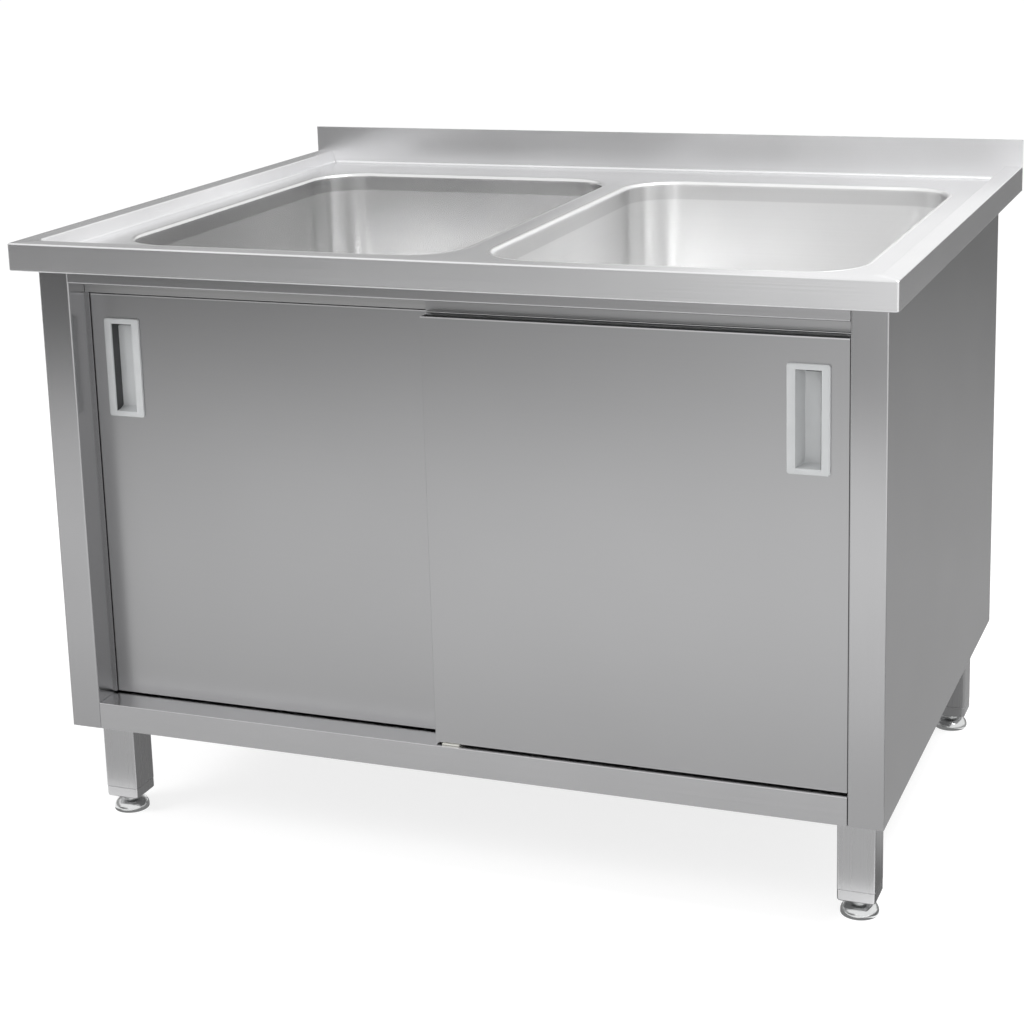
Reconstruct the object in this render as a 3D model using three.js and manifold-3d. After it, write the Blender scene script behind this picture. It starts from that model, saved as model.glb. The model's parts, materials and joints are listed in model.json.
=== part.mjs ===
// Free-standing stainless steel sink unit: two bowls in a rimmed worktop with a splashback, on a
// folded sheet cupboard with two top-hung sliding doors, square legs and adjustable feet.
//
// Millimetres. +X to the right, +Y to the rear, +Z up. The origin is on the floor under the middle
// of the worktop. Sheet pieces are folded outlines with their real thickness.

import * as THREE from 'three';
import { mergeVertices } from 'three/addons/utils/BufferGeometryUtils.js';
import Module from 'manifold-3d';

const wasm = await Module();
wasm.setup();

// ---------------------------------------------------------------------------------------------
// Driving dimensions
// ---------------------------------------------------------------------------------------------

// Clearances
const seat = 0.3;                    // between two pieces that sit on each other
const turn = 0.4;                    // radial clearance round a turning or sliding shaft

// Worktop
const width = 1200;                  // worktop, left to right
const depth = 950;                   // worktop, front edge to the splashback's rear face
const workHeight = 850;              // floor to the top of the rim
const topSheet = 1.2;                // worktop and bowl sheet
const skirtHeight = 38;              // downturned edge of the worktop
const skirtHem = 12;                 // inward hem under the skirt
const rimWidth = 28;                 // flat of the raised rim
const rimDrop = 20;                  // from the rim down to the deck
const rimInset = 5;                  // how far the drop leans inwards
const rimCorner = 16;                // plan radius of the rim's inner corner
const splashRise = 42;               // splashback above the rim
const splashSheet = 1.5;             // splashback sheet

// Bowls
const bowlWidth = 506;               // drawn opening, left to right
const bowlFront = 132;               // opening's front edge, from the worktop's front
const bowlRear = 837;                // opening's rear edge, from the worktop's front
const bowlDivider = 34;              // deck left between the openings
const bowlCorner = 80;               // plan radius of the opening
const bowlDepth = 260;               // deck to the foot of the bowl's walls
const lipRadius = 5;                 // rolled edge of a bowl
const lipFlat = 2;                   // level edge outside the roll, welded to the deck
const floorRadius = 40;              // between a bowl's wall and its floor
const floorFall = 4;                 // slope of the floor towards the waste

// Waste
const wasteHole = 62;                // hole in the bowl's floor
const wasteFlange = 85;              // diameter of the flange in the bowl
const wasteFlat = 98;                // flat patch round the waste
const throatBore = 44;               // inside of the throat
const throatOuter = 50;              // lower, narrower part of the throat
const throatLength = 50;             // below the bowl's floor
const throatShoulder = 24;           // depth of the threaded part that takes the nut
const flangeRise = 2;                // thickness of the flange
const dishDepth = 8;                 // strainer's seat below the bowl's floor
const dishRadius = 29;               // inside of the dish at the seat
const strainerSheet = 1.2;
const strainerHoles = 10;
const strainerHoleRadius = 3.2;
const strainerHoleRing = 19;
const nutHeight = 11;
const nutFlats = 78;                 // across the nut's flats
const tailLength = 70;               // plain pipe below the union
const tailOuter = 40;
const tailWall = 2;
const unionOuter = 62;

// Carcase
const carcaseSheet = 1.2;
const carcaseSide = 19;              // worktop's edge to the side panel's outer face
const carcaseFront = 40;             // worktop's front to the stile's front face
const carcaseRear = 846;             // worktop's front to the carcase's rear
const carcaseBottom = 149.4;         // floor to the carcase's lower edge
const stileWidth = 46;
const stileReturn = 43;              // how far the stile's inner flange runs back
const rearFlange = 30;
const topFlange = 41;                // side panel's flange under the deck
const footFlange = 15;               // side panel's flange under the shelf
const shelfTop = 187.5;              // floor to the shelf's upper face
const lipHem = 15;                   // inward hem under the shelf's front lip
const backFlange = 5;                // back panel's flange under the deck
const stiffenerWidth = 60;           // hat section under the shelf
const stiffenerFlange = 18;
const stiffenerPlace = 437;          // its middle, from the worktop's front
const ledgeStiffenerWidth = 46;      // hat section under the tap ledge
const ledgeStiffenerHeight = 24;
const ledgeStiffenerPlace = 895;

// Door head
const railBottom = 790;              // lower edge of the top rail
const railHem = 8;
const railFlange = 35;
const trackSheet = 1.5;
const trackWeb = 810;                // lower face of the track's web
const trackLedge = 788;              // running face of the ledges
const trackLedgeWidth = 7.5;
const trackSkirt = 771;              // lower edge of the wall between the two tracks
const trackUpstand = 15;             // flange that fastens the track to the top rail
const trackPitch = 38;               // front track to rear track

// Doors
const doorFront = 48;                // front door's face, from the worktop's front
const doorThickness = 20;
const doorSheet = 1;
const doorWidth = 555;
const doorBottom = 190;
const doorTop = 768.5;               // top edge of a door's front skin
const doorEdgeRise = 3.5;            // how far the door's rear edge stands above its front one
const doorEdgeDepth = 30;            // strip that doubles the back skin along that edge
const hangingFlange = 36;            // back skin's full-width flange, above the front skin
const doorGap = 2;                   // closed door to the stile's inner flange
const doorHem = 8;                   // flange behind the front skin's side walls

// Handles
const handleWidth = 52;
const handleHeight = 136;
const handleOpenWidth = 33.6;
const handleOpenHeight = 124.6;
const handleProud = 2;               // frame in front of the door
const handlePocket = 14;             // depth behind the door's face
const handleWall = 1.5;
const handleInset = 23.5;            // door's edge to the handle's frame
const handleCentre = 666.5;          // floor to the handle's middle
const handleCorner = 3;

// Hangers and rollers
const hangerWidth = 44;
const hangerSheet = 2;
const hangerBottom = 715;
const hangerInset = 70;              // door's edge to the hanger's middle
const rollerDiameter = 20;
const rollerWidth = 6;
const rollerCrown = 1;               // rounding of the tread's edges
const axleDiameter = 6;
const axleHead = 9;
const axleHeadHeight = 1;
const axleShoulder = 10;
const eyeRise = 6;                   // hanger's plate above the axle
const boltHead = 11;                 // across the hexagon's corners
const boltHeadHeight = 3;
const boltRise = 16;                 // bolts above the hanger's lower edge
const boltPitch = 24;                // between a hanger's two bolts

// Bottom guide
const guideWidth = 24;
const guideBase = 1.6;
const guideFinWidth = 13;            // across the door's channel
const guideFinTop = 202;
const guideNose = 3;                 // base in front of the front door

// Legs and feet
const legSize = 50;
const legWall = 1.5;
const legSideInset = 19;             // carcase's side to the leg
const legFrontInset = 45;            // carcase's front to the front legs
const legRearInset = 58;             // carcase's rear to the rear legs
const collarBottom = 24;             // floor to the collar
const collarHeight = 16;
const collarPlug = 22;               // part of the collar inside the leg
const legPlateSize = 74;
const legPlateSheet = 4;
const footDiameter = 50;
const footRound = 1;                 // chamfer under the foot's edge
const footEdge = 4;
const footDome = 16;                  // top of the dome
const hubDiameter = 22;              // collar round the stem, on the dome
const hubHeight = 5;
const stemDiameter = 12;
const stemTop = 84;

// Smoothness
const cornerSteps = 8;               // facets in a quarter turn of a bowl's corner
const rollSteps = 4;                 // facets in a rolled edge
const roundSteps = 24;               // facets round a turned piece
const overshoot = 1;                 // how far a cutting body passes the face it opens

// ---------------------------------------------------------------------------------------------
// Places worked out from the sizes above
// ---------------------------------------------------------------------------------------------

const halfWidth = width / 2;
const fromFront = (distance) => distance - depth / 2;

const skirtBottom = workHeight - skirtHeight;
const deck = workHeight - rimDrop;
const deckUnder = deck - topSheet;
const carcaseTop = deckUnder - seat;
const splashFace = fromFront(depth - splashSheet);
const worktopFront = fromFront(0);
const worktopRear = splashFace - seat;

const bowlFoot = deck - bowlDepth;
const sump = bowlFoot - floorFall;
const bowlCentreX = (bowlDivider + bowlWidth) / 2;
const bowlCentreY = fromFront((bowlFront + bowlRear) / 2);
const bowlLength = bowlRear - bowlFront;

const outerX = halfWidth - carcaseSide;
const innerX = outerX - carcaseSheet;
const frontY = fromFront(carcaseFront);
const rearY = fromFront(carcaseRear);
const stileX = outerX - stileWidth;
const returnY = frontY + stileReturn;
const backPanelRear = rearY - carcaseSheet - seat;
const backPanelFront = backPanelRear - carcaseSheet;
const shelfUnder = shelfTop - carcaseSheet;
const shelfSideX = innerX - seat;

const doorFaces = { front: fromFront(doorFront), rear: fromFront(doorFront) + trackPitch };
const closedEdge = stileX - doorGap;

// ---------------------------------------------------------------------------------------------
// Materials
// ---------------------------------------------------------------------------------------------

const finish = (color, roughness, metalness) =>
  new THREE.MeshStandardMaterial({ color, roughness, metalness });

const materials = {
  worktopSteel: finish(0xd2d3d4, 0.3, 1),
  panelSteel: finish(0xa9abad, 0.42, 1),
  doorSteel: finish(0x9c9e9f, 0.45, 1),
  structureSteel: finish(0xb0b2b3, 0.5, 1),
  polishedSteel: finish(0xd8d9da, 0.2, 1),
  handlePlastic: finish(0xc3c5c6, 0.4, 0),
  nylon: finish(0xe9e9e4, 0.5, 0),
};

// ---------------------------------------------------------------------------------------------
// Solids
// ---------------------------------------------------------------------------------------------

/** Six times the signed volume inside an indexed surface: negative when its faces point inwards. */
function signedVolume(geometry) {
  const p = geometry.attributes.position;
  const index = geometry.index;
  const corners = [new THREE.Vector3(), new THREE.Vector3(), new THREE.Vector3()];
  let sum = 0;
  for (let i = 0; i < index.count; i += 3) {
    corners.forEach((corner, k) => corner.fromBufferAttribute(p, index.getX(i + k)));
    sum += corners[0].dot(corners[1].cross(corners[2]));
  }
  return sum;
}

/** Keeps position only, joins shared vertices, drops empty faces and turns the rest outwards. */
function closed(geometry) {
  const bare = geometry.clone();
  for (const name of Object.keys(bare.attributes)) {
    if (name !== 'position') bare.deleteAttribute(name);
  }
  const merged = mergeVertices(bare, 1e-4);
  const index = [];
  for (let i = 0; i < merged.index.count; i += 3) {
    const face = [0, 1, 2].map((k) => merged.index.getX(i + k));
    if (new Set(face).size === 3) index.push(...face);
  }
  merged.setIndex(index);
  if (signedVolume(merged) < 0) merged.setIndex(index.reverse());
  return merged;
}

/** A three.js geometry as a solid that can be joined and cut. */
function solid(geometry) {
  const mesh = closed(geometry);
  return new wasm.Manifold(new wasm.Mesh({
    numProp: 3,
    vertProperties: new Float32Array(mesh.attributes.position.array),
    triVerts: new Uint32Array(mesh.index.array),
  }));
}

/** A solid back as a three.js geometry. */
function geometryOf(body) {
  const mesh = body.getMesh();
  const geometry = new THREE.BufferGeometry();
  geometry.setAttribute('position', new THREE.BufferAttribute(mesh.vertProperties, 3));
  geometry.setIndex(new THREE.BufferAttribute(mesh.triVerts, 1));
  return geometry;
}

const join = (first, ...rest) => rest.reduce((body, next) => body.add(next), first);
const cut = (first, ...rest) => rest.reduce((body, next) => body.subtract(next), first);

/** Block between two corners. */
function block(x0, x1, y0, y1, z0, z1) {
  const geometry = new THREE.BoxGeometry(x1 - x0, y1 - y0, z1 - z0);
  geometry.translate((x0 + x1) / 2, (y0 + y1) / 2, (z0 + z1) / 2);
  return solid(geometry);
}

/** Outline of [u, v] pairs extruded by a length, before it is turned into place. */
function extruded(outline, length) {
  const shape = new THREE.Shape(outline.map(([u, v]) => new THREE.Vector2(u, v)));
  return new THREE.ExtrudeGeometry(shape, { depth: length, bevelEnabled: false });
}

/** Outline in plan (x, y), extruded up from z0 to z1. */
function upright(outline, z0, z1) {
  return solid(extruded(outline, z1 - z0).translate(0, 0, z0));
}

/** Outline seen from the side (y, z), extruded to the right from x0 to x1. */
function sideways(outline, x0, x1) {
  const toSide = new THREE.Matrix4().makeBasis(
    new THREE.Vector3(0, 1, 0), new THREE.Vector3(0, 0, 1), new THREE.Vector3(1, 0, 0));
  return solid(extruded(outline, x1 - x0).applyMatrix4(toSide).translate(x0, 0, 0));
}

/**
 * Cross-section of a folded sheet: the line through the folds, thickened to the left of its
 * direction of travel with mitred corners.
 */
function folded(line, thickness) {
  const points = line.map(([u, v]) => new THREE.Vector2(u, v));
  const normals = points.slice(1).map((point, i) => {
    const along = point.clone().sub(points[i]).normalize();
    return new THREE.Vector2(-along.y, along.x);
  });
  const offset = points.map((point, i) => {
    const before = normals[Math.max(i - 1, 0)];
    const after = normals[Math.min(i, normals.length - 1)];
    const mitre = before.clone().add(after);
    return point.clone().addScaledVector(mitre, 2 * thickness / mitre.lengthSq());
  });
  return [...points, ...offset.reverse()].map((point) => [point.x, point.y]);
}

/** Profile of [radius, height] pairs turned about an upright axis at (x, y), its heights from z. */
function turned(profile, x = 0, y = 0, z = 0) {
  const points = profile.map(([radius, height]) => new THREE.Vector2(radius, height));
  const geometry = new THREE.LatheGeometry(points, roundSteps);
  return solid(geometry.rotateX(Math.PI / 2).translate(x, y, z));
}

/** The same, about an axis along +Y that starts at (x, y, z). */
function turnedAlongY(profile, x, y, z, steps = roundSteps) {
  const points = profile.map(([radius, height]) => new THREE.Vector2(radius, height));
  return solid(new THREE.LatheGeometry(points, steps).translate(x, y, z));
}

/** Plain round bar on an upright axis. */
function bar(radius, x, y, z0, z1) {
  return turned([[0, z0], [radius, z0], [radius, z1], [0, z1]], x, y);
}

/** Rounded rectangle in plan as a list of [x, y], with its sides moved inwards by an inset. */
function roundedOutline({ x, y, w, d, r, steps = cornerSteps }, inset = 0) {
  const halfX = w / 2 - inset;
  const halfY = d / 2 - inset;
  const radius = Math.max(r - inset, 0.5);
  const corners = [[1, 1, 0], [-1, 1, 1], [-1, -1, 2], [1, -1, 3]];
  return corners.flatMap(([sx, sy, quarter]) => Array.from({ length: steps + 1 }, (_, i) => {
    const angle = (quarter + i / steps) * Math.PI / 2;
    return [
      x + sx * (halfX - radius) + radius * Math.cos(angle),
      y + sy * (halfY - radius) + radius * Math.sin(angle),
    ];
  }));
}

/** Solid through a stack of rings, each { outline, z } with as many points as the others. */
function lofted(rings) {
  const count = rings[0].outline.length;
  const positions = rings.flatMap(({ outline, z }) => outline.flatMap(([x, y]) => [x, y, z]));
  const index = [];
  for (let ring = 0; ring + 1 < rings.length; ring += 1) {
    for (let i = 0; i < count; i += 1) {
      const a = ring * count + i;
      const b = ring * count + (i + 1) % count;
      index.push(a, b, b + count, a, b + count, a + count);
    }
  }
  const cap = (ring, flip) => {
    const outline = rings[ring].outline.map(([x, y]) => new THREE.Vector2(x, y));
    for (const [a, b, c] of THREE.ShapeUtils.triangulateShape(outline, [])) {
      const face = [a, b, c].map((k) => k + ring * count);
      index.push(...(flip ? face.reverse() : face));
    }
  };
  cap(0, true);
  cap(rings.length - 1, false);
  const geometry = new THREE.BufferGeometry();
  geometry.setAttribute('position', new THREE.Float32BufferAttribute(positions, 3));
  geometry.setIndex(index);
  return solid(geometry);
}

/** [inset, z] pairs along a quarter roll from level at the top to upright at the bottom. */
function rolledEdge(radius, top) {
  return Array.from({ length: rollSteps + 1 }, (_, i) => {
    const angle = (i / rollSteps) * Math.PI / 2;
    return [radius * Math.sin(angle), top - radius * (1 - Math.cos(angle))];
  });
}

/** A solid's mirror image on the other side of the unit. */
const mirrored = (body) => solid(geometryOf(body).scale(-1, 1, 1));

// ---------------------------------------------------------------------------------------------
// Scene graph
// ---------------------------------------------------------------------------------------------

const sinkUnit = new THREE.Group();

function add(name, body, material) {
  const mesh = new THREE.Mesh(geometryOf(body), material);
  mesh.name = name;
  sinkUnit.add(mesh);
  return mesh;
}

// ---------------------------------------------------------------------------------------------
// Worktop and bowls
// ---------------------------------------------------------------------------------------------

const opening = (side) => ({
  x: side * bowlCentreX, y: bowlCentreY, w: bowlWidth, d: bowlLength, r: bowlCorner,
});

/** Tray inside the rim, open to the rear; grown by a sheet's thickness it is the tray's underside. */
function tray(grow) {
  const front = worktopFront + rimWidth - grow;
  const rear = worktopRear + 2 * rimCorner;
  const outline = {
    x: 0, y: (front + rear) / 2, w: 2 * (halfWidth - rimWidth + grow), d: rear - front,
    r: rimCorner + grow,
  };
  return lofted([
    { outline: roundedOutline(outline, rimInset), z: deck - grow },
    { outline: roundedOutline(outline), z: workHeight },
    { outline: roundedOutline(outline), z: workHeight + overshoot },
  ]);
}

/** Hole in the deck that a bowl's lip is welded into. */
const bowlHole = (side) => upright(
  roundedOutline(opening(side), -lipFlat - seat), deckUnder - overshoot, deck + overshoot);

function buildWorktop() {
  const shell = block(-halfWidth, halfWidth, worktopFront, worktopRear, skirtBottom, workHeight);
  const inside = block(
    -halfWidth + topSheet, halfWidth - topSheet, worktopFront + topSheet, worktopRear - topSheet,
    skirtBottom + topSheet, workHeight - topSheet);
  const mouth = block(
    -halfWidth + skirtHem, halfWidth - skirtHem, worktopFront + skirtHem, worktopRear - skirtHem,
    skirtBottom - overshoot, skirtBottom + topSheet + overshoot);
  return cut(shell, tray(0), cut(inside, tray(topSheet)), mouth, bowlHole(-1), bowlHole(1));
}

function buildSplashback() {
  const edge = splashSheet / 3;
  const rear = splashFace + splashSheet;
  const top = workHeight + splashRise;
  const outline = [
    [splashFace, skirtBottom], [rear, skirtBottom], [rear, top - edge],
    [rear - edge, top], [splashFace + edge, top], [splashFace, top - edge],
  ];
  return sideways(outline, -halfWidth, halfWidth);
}

/** Circle round the waste, with as many points as a bowl's outline. */
const wasteCircle = (side, radius) => roundedOutline(opening(side)).map((_, i, { length }) => {
  const angle = ((i + 0.5) / length) * 2 * Math.PI;
  return [side * bowlCentreX + radius * Math.cos(angle), bowlCentreY + radius * Math.sin(angle)];
});

/** Space inside a bowl and its rolled lip, grown by a sheet's thickness for its outside. */
function bowlSpace(side, grow) {
  const radius = floorRadius + grow;
  const foot = bowlFoot - grow;
  const turnIn = rolledEdge(radius, 0).map(([rise, run]) => [
    lipRadius - grow - run, foot + radius - rise,
  ]);
  const turnOut = rolledEdge(lipRadius - grow, deck - grow);
  const edge = grow > 0 ? [[-lipFlat, deckUnder], [-lipFlat, deck]] : [[0, deck + overshoot]];
  return lofted([
    { outline: wasteCircle(side, wasteFlat / 2), z: sump - grow },
    ...[...turnIn.reverse(), ...turnOut.reverse(), ...edge].map(([inset, z]) => ({
      outline: roundedOutline(opening(side), inset), z,
    })),
  ]);
}

function buildBowl(side) {
  return cut(
    bowlSpace(side, topSheet),
    bowlSpace(side, 0),
    bar(wasteHole / 2, side * bowlCentreX, bowlCentreY, sump - 2 * floorFall, sump + floorFall));
}

add('worktop', buildWorktop(), materials.worktopSteel);
add('splashback', buildSplashback(), materials.worktopSteel);

// ---------------------------------------------------------------------------------------------
// Wastes: heights are measured from the flat patch in the bowl's floor
// ---------------------------------------------------------------------------------------------

const threadRadius = wasteHole / 2 - 2 * seat;
const throatFoot = -throatLength;
const strainerRadius = dishRadius - 2 * seat;
const unionSeat = throatFoot - seat;
const unionTop = -throatShoulder - 3 * tailWall;

const atWaste = (profile, side) => turned(profile, side * bowlCentreX, bowlCentreY, sump);

function buildWasteFlange(side) {
  const rim = wasteFlange / 2;
  return atWaste([
    [rim, seat], [rim, seat + flangeRise / 2], [rim - flangeRise, seat + flangeRise],
    [threadRadius + flangeRise, seat + flangeRise], [dishRadius, -dishDepth],
    [throatBore / 2, -dishDepth - topSheet * 2], [throatBore / 2, throatFoot],
    [throatOuter / 2, throatFoot], [throatOuter / 2, -throatShoulder - flangeRise],
    [threadRadius, -throatShoulder], [threadRadius, seat], [rim, seat],
  ], side);
}

function buildStrainer(side) {
  const low = -dishDepth + seat;
  const high = low + strainerSheet;
  const knob = strainerHoleRadius;
  const disc = atWaste([
    [0, low], [strainerRadius, low], [strainerRadius, high], [2 * knob, high],
    [knob, high + strainerSheet], [knob, high + 3 * knob], [0, high + 3 * knob],
  ], side);
  const holes = Array.from({ length: strainerHoles }, (_, i) => {
    const angle = (i / strainerHoles) * 2 * Math.PI;
    const x = side * bowlCentreX + strainerHoleRing * Math.cos(angle);
    const y = bowlCentreY + strainerHoleRing * Math.sin(angle);
    const hole = new THREE.CylinderGeometry(
      strainerHoleRadius, strainerHoleRadius, 4 * strainerSheet, 10);
    return solid(hole.rotateX(Math.PI / 2).translate(x, y, sump + (low + high) / 2));
  });
  return cut(disc, ...holes);
}

function buildLockNut(side) {
  const top = sump - topSheet - seat;
  const corner = nutFlats / Math.sqrt(3);
  const hexagon = new THREE.CylinderGeometry(corner, corner, nutHeight, 6);
  hexagon.rotateX(Math.PI / 2).translate(side * bowlCentreX, bowlCentreY, top - nutHeight / 2);
  const thread = bar(
    threadRadius + seat, side * bowlCentreX, bowlCentreY, top - nutHeight - overshoot, top + overshoot);
  return cut(solid(hexagon), thread);
}

function buildWasteTail(side) {
  const outer = tailOuter / 2;
  const bore = outer - tailWall;
  const foot = unionSeat - tailLength;
  const mouth = throatOuter / 2 + seat;
  return atWaste([
    [mouth, unionTop], [unionOuter / 2, unionTop],
    [unionOuter / 2, unionSeat], [unionOuter / 2 - tailWall, unionSeat - tailWall],
    [outer, unionSeat - 2 * tailWall], [outer, foot], [bore, foot], [bore, unionSeat],
    [mouth, unionSeat], [mouth, unionTop],
  ], side);
}

for (const [name, side] of [['left', -1], ['right', 1]]) {
  add(`bowl_${name}`, buildBowl(side), materials.worktopSteel);
  add(`waste_flange_${name}`, buildWasteFlange(side), materials.polishedSteel);
  add(`strainer_${name}`, buildStrainer(side), materials.polishedSteel);
  add(`lock_nut_${name}`, buildLockNut(side), materials.structureSteel);
  add(`waste_tail_${name}`, buildWasteTail(side), materials.nylon);
}

// ---------------------------------------------------------------------------------------------
// Carcase
// ---------------------------------------------------------------------------------------------

/** Right-hand side panel and stile, folded from one sheet; the left one is its mirror image. */
function buildSidePanel() {
  const wall = upright(folded([
    [stileX, returnY], [stileX, frontY], [outerX, frontY], [outerX, rearY],
    [outerX - rearFlange, rearY],
  ], carcaseSheet), carcaseBottom, carcaseTop);
  const inside = innerX + carcaseSheet / 2;
  const flange = (reach, z) => block(
    outerX - reach, inside, returnY, backPanelFront - backFlange - seat, z, z + carcaseSheet);
  return join(wall, flange(topFlange, carcaseTop - carcaseSheet), flange(footFlange, carcaseBottom));
}

function buildBackPanel() {
  const bottom = carcaseBottom + carcaseSheet + seat;
  const outline = folded([
    [backPanelRear, bottom], [backPanelRear, carcaseTop], [backPanelFront - backFlange, carcaseTop],
  ], carcaseSheet);
  return sideways(outline, -shelfSideX, shelfSideX);
}

/** Shelf tray: wide between the side panels, narrower where its front passes the stiles. */
function buildShelf() {
  const rear = backPanelFront - seat;
  const neck = returnY + seat;
  const low = carcaseBottom + carcaseSheet + seat;
  const plan = (inset) => {
    const narrow = stileX - seat - inset;
    const wide = shelfSideX - inset;
    const step = neck + inset;
    return [
      [-narrow, frontY + inset], [narrow, frontY + inset], [narrow, step], [wide, step],
      [wide, rear - inset], [-wide, rear - inset], [-wide, step], [-narrow, step],
    ];
  };
  const mouth = block(
    -halfWidth, halfWidth, frontY + lipHem, rear + overshoot, carcaseBottom - overshoot, low);
  return cut(
    upright(plan(0), carcaseBottom, shelfTop),
    upright(plan(carcaseSheet), carcaseBottom + carcaseSheet, shelfUnder),
    mouth);
}

/** Hat section with its flanges up against a sheet: [y, z] line, open towards the sheet. */
const hat = (middle, halfBody, flange, top, bottom) => [
  [middle - halfBody - flange, top], [middle - halfBody, top], [middle - halfBody, bottom],
  [middle + halfBody, bottom], [middle + halfBody, top], [middle + halfBody + flange, top],
];

function buildShelfStiffener() {
  const top = shelfUnder - seat - carcaseSheet;
  const line = hat(
    fromFront(stiffenerPlace), stiffenerWidth / 2, stiffenerFlange, top, carcaseBottom + carcaseSheet);
  const endX = shelfSideX - 2 * carcaseSheet - seat;
  return sideways(folded(line, carcaseSheet), -endX, endX);
}

function buildLedgeStiffener() {
  const top = deckUnder - seat - carcaseSheet;
  const line = hat(
    fromFront(ledgeStiffenerPlace), ledgeStiffenerWidth / 2, stiffenerFlange / 2, top,
    top - ledgeStiffenerHeight);
  return sideways(folded(line, carcaseSheet), -stileX, stileX);
}

const sidePanel = buildSidePanel();
add('side_panel_right', sidePanel, materials.panelSteel);
add('side_panel_left', mirrored(sidePanel), materials.panelSteel);
add('back_panel', buildBackPanel(), materials.panelSteel);
add('bottom_shelf', buildShelf(), materials.panelSteel);
add('shelf_stiffener', buildShelfStiffener(), materials.structureSteel);
add('ledge_stiffener', buildLedgeStiffener(), materials.structureSteel);

// ---------------------------------------------------------------------------------------------
// Door head and bottom guide
// ---------------------------------------------------------------------------------------------

const headX = stileX - seat;
const hangerFront = doorFaces.front + doorThickness + seat;
const hangerRear = hangerFront + hangerSheet;
const rollerFront = hangerRear + axleHeadHeight + turn;
const rollerRear = rollerFront + rollerWidth;
const dividerFront = rollerRear + axleHeadHeight + 2 * turn;

function buildTopRail() {
  const line = [
    [frontY + railHem, railBottom], [frontY, railBottom], [frontY, carcaseTop],
    [frontY + railFlange, carcaseTop],
  ];
  return sideways(folded(line.reverse(), carcaseSheet), -headX, headX);
}

/** Two hanging rails in one: each has a wall and a ledge that the door's rollers run on. */
function buildDoorTrack() {
  const fixing = frontY + carcaseSheet + seat;
  const rearWall = dividerFront + trackSheet + trackPitch;
  const ledgeUnder = trackLedge - trackSheet;
  const web = trackWeb;
  const outer = folded([
    [rearWall - trackSheet - trackLedgeWidth, ledgeUnder], [rearWall, ledgeUnder],
    [rearWall, web + trackSheet], [fixing, web + trackSheet],
  ], trackSheet);
  const upstand = folded([[fixing + trackSheet, web], [fixing + trackSheet, web + trackUpstand]], trackSheet);
  const divider = folded([
    [dividerFront, web + trackSheet / 2], [dividerFront, trackSkirt],
  ], trackSheet);
  const ledge = folded([
    [dividerFront - trackLedgeWidth, ledgeUnder], [dividerFront + trackSheet / 2, ledgeUnder],
  ], trackSheet);
  const lengths = [outer, upstand, divider, ledge].map((outline) => sideways(outline, -headX, headX));
  return join(...lengths);
}

/** Nylon block on the shelf with a fin that runs in the open channel under each door. */
function buildBottomGuide() {
  const low = shelfTop + seat;
  const x = guideWidth / 2;
  const front = doorFaces.front - guideNose;
  const rear = doorFaces.rear + doorThickness + guideNose;
  const base = block(-x, x, front, rear, low, low + guideBase);
  const fins = Object.values(doorFaces).map((face) => {
    const middle = face + doorThickness / 2;
    const half = guideFinWidth / 2;
    return sideways([
      [middle - half, low + guideBase / 2], [middle + half, low + guideBase / 2],
      [middle + half, guideFinTop - guideBase], [middle + half - guideBase, guideFinTop],
      [middle - half + guideBase, guideFinTop], [middle - half, guideFinTop - guideBase],
    ], -x, x);
  });
  return join(base, ...fins);
}

add('top_rail', buildTopRail(), materials.panelSteel);
add('door_track', buildDoorTrack(), materials.structureSteel);
add('bottom_guide', buildBottomGuide(), materials.nylon);

// ---------------------------------------------------------------------------------------------
// Doors: side is -1 for the left door on the rear track, 1 for the right door on the front track
// ---------------------------------------------------------------------------------------------

const doorRange = (side) => (side > 0
  ? [closedEdge - doorWidth, closedEdge]
  : [-closedEdge, -closedEdge + doorWidth]);
const handleX = (side) => side * (closedEdge - handleInset - handleWidth / 2);

const handlePlan = (side, w, h, r) => ({ x: handleX(side), y: 0, w, d: h, r, steps: 3 });

/** Rounded rectangle on a door's face, extruded to the rear from y0 to y1. */
function throughDoor(side, w, h, r, y0, y1) {
  const outline = roundedOutline(handlePlan(side, w, h, r));
  const geometry = extruded(outline, y1 - y0).rotateX(Math.PI / 2);
  return solid(geometry.translate(0, y1, handleCentre));
}

/** Front skin: a shallow pan with side walls and hems, open above and below. */
function buildFrontSkin(side, face) {
  const [left, right] = doorRange(side);
  const hemY = face + doorThickness - doorSheet - seat;
  const line = [
    [left + doorHem, hemY], [left, hemY], [left, face], [right, face], [right, hemY],
    [right - doorHem, hemY],
  ];
  const pan = upright(folded(line, doorSheet), doorBottom, doorTop);
  const hole = throughDoor(
    side, handleOpenWidth + 2 * (handleWall + seat), handleOpenHeight + 2 * (handleWall + seat),
    handleCorner, face - overshoot, face + doorSheet + overshoot);
  return cut(pan, hole);
}

/** Back skin: it rises into the door head as a hanging flange, in front of the hangers. */
function buildBackSkin(side, face) {
  const [left, right] = doorRange(side);
  const rear = face + doorThickness;
  const front = rear - doorSheet;
  const edge = doorTop + doorEdgeRise;
  const inset = doorHem + seat;
  return join(
    block(left, right, front, rear, doorBottom, doorTop + hangingFlange),
    block(left + inset, right - inset, front - doorSheet, front + doorSheet / 2, edge - doorEdgeDepth, edge));
}

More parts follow.
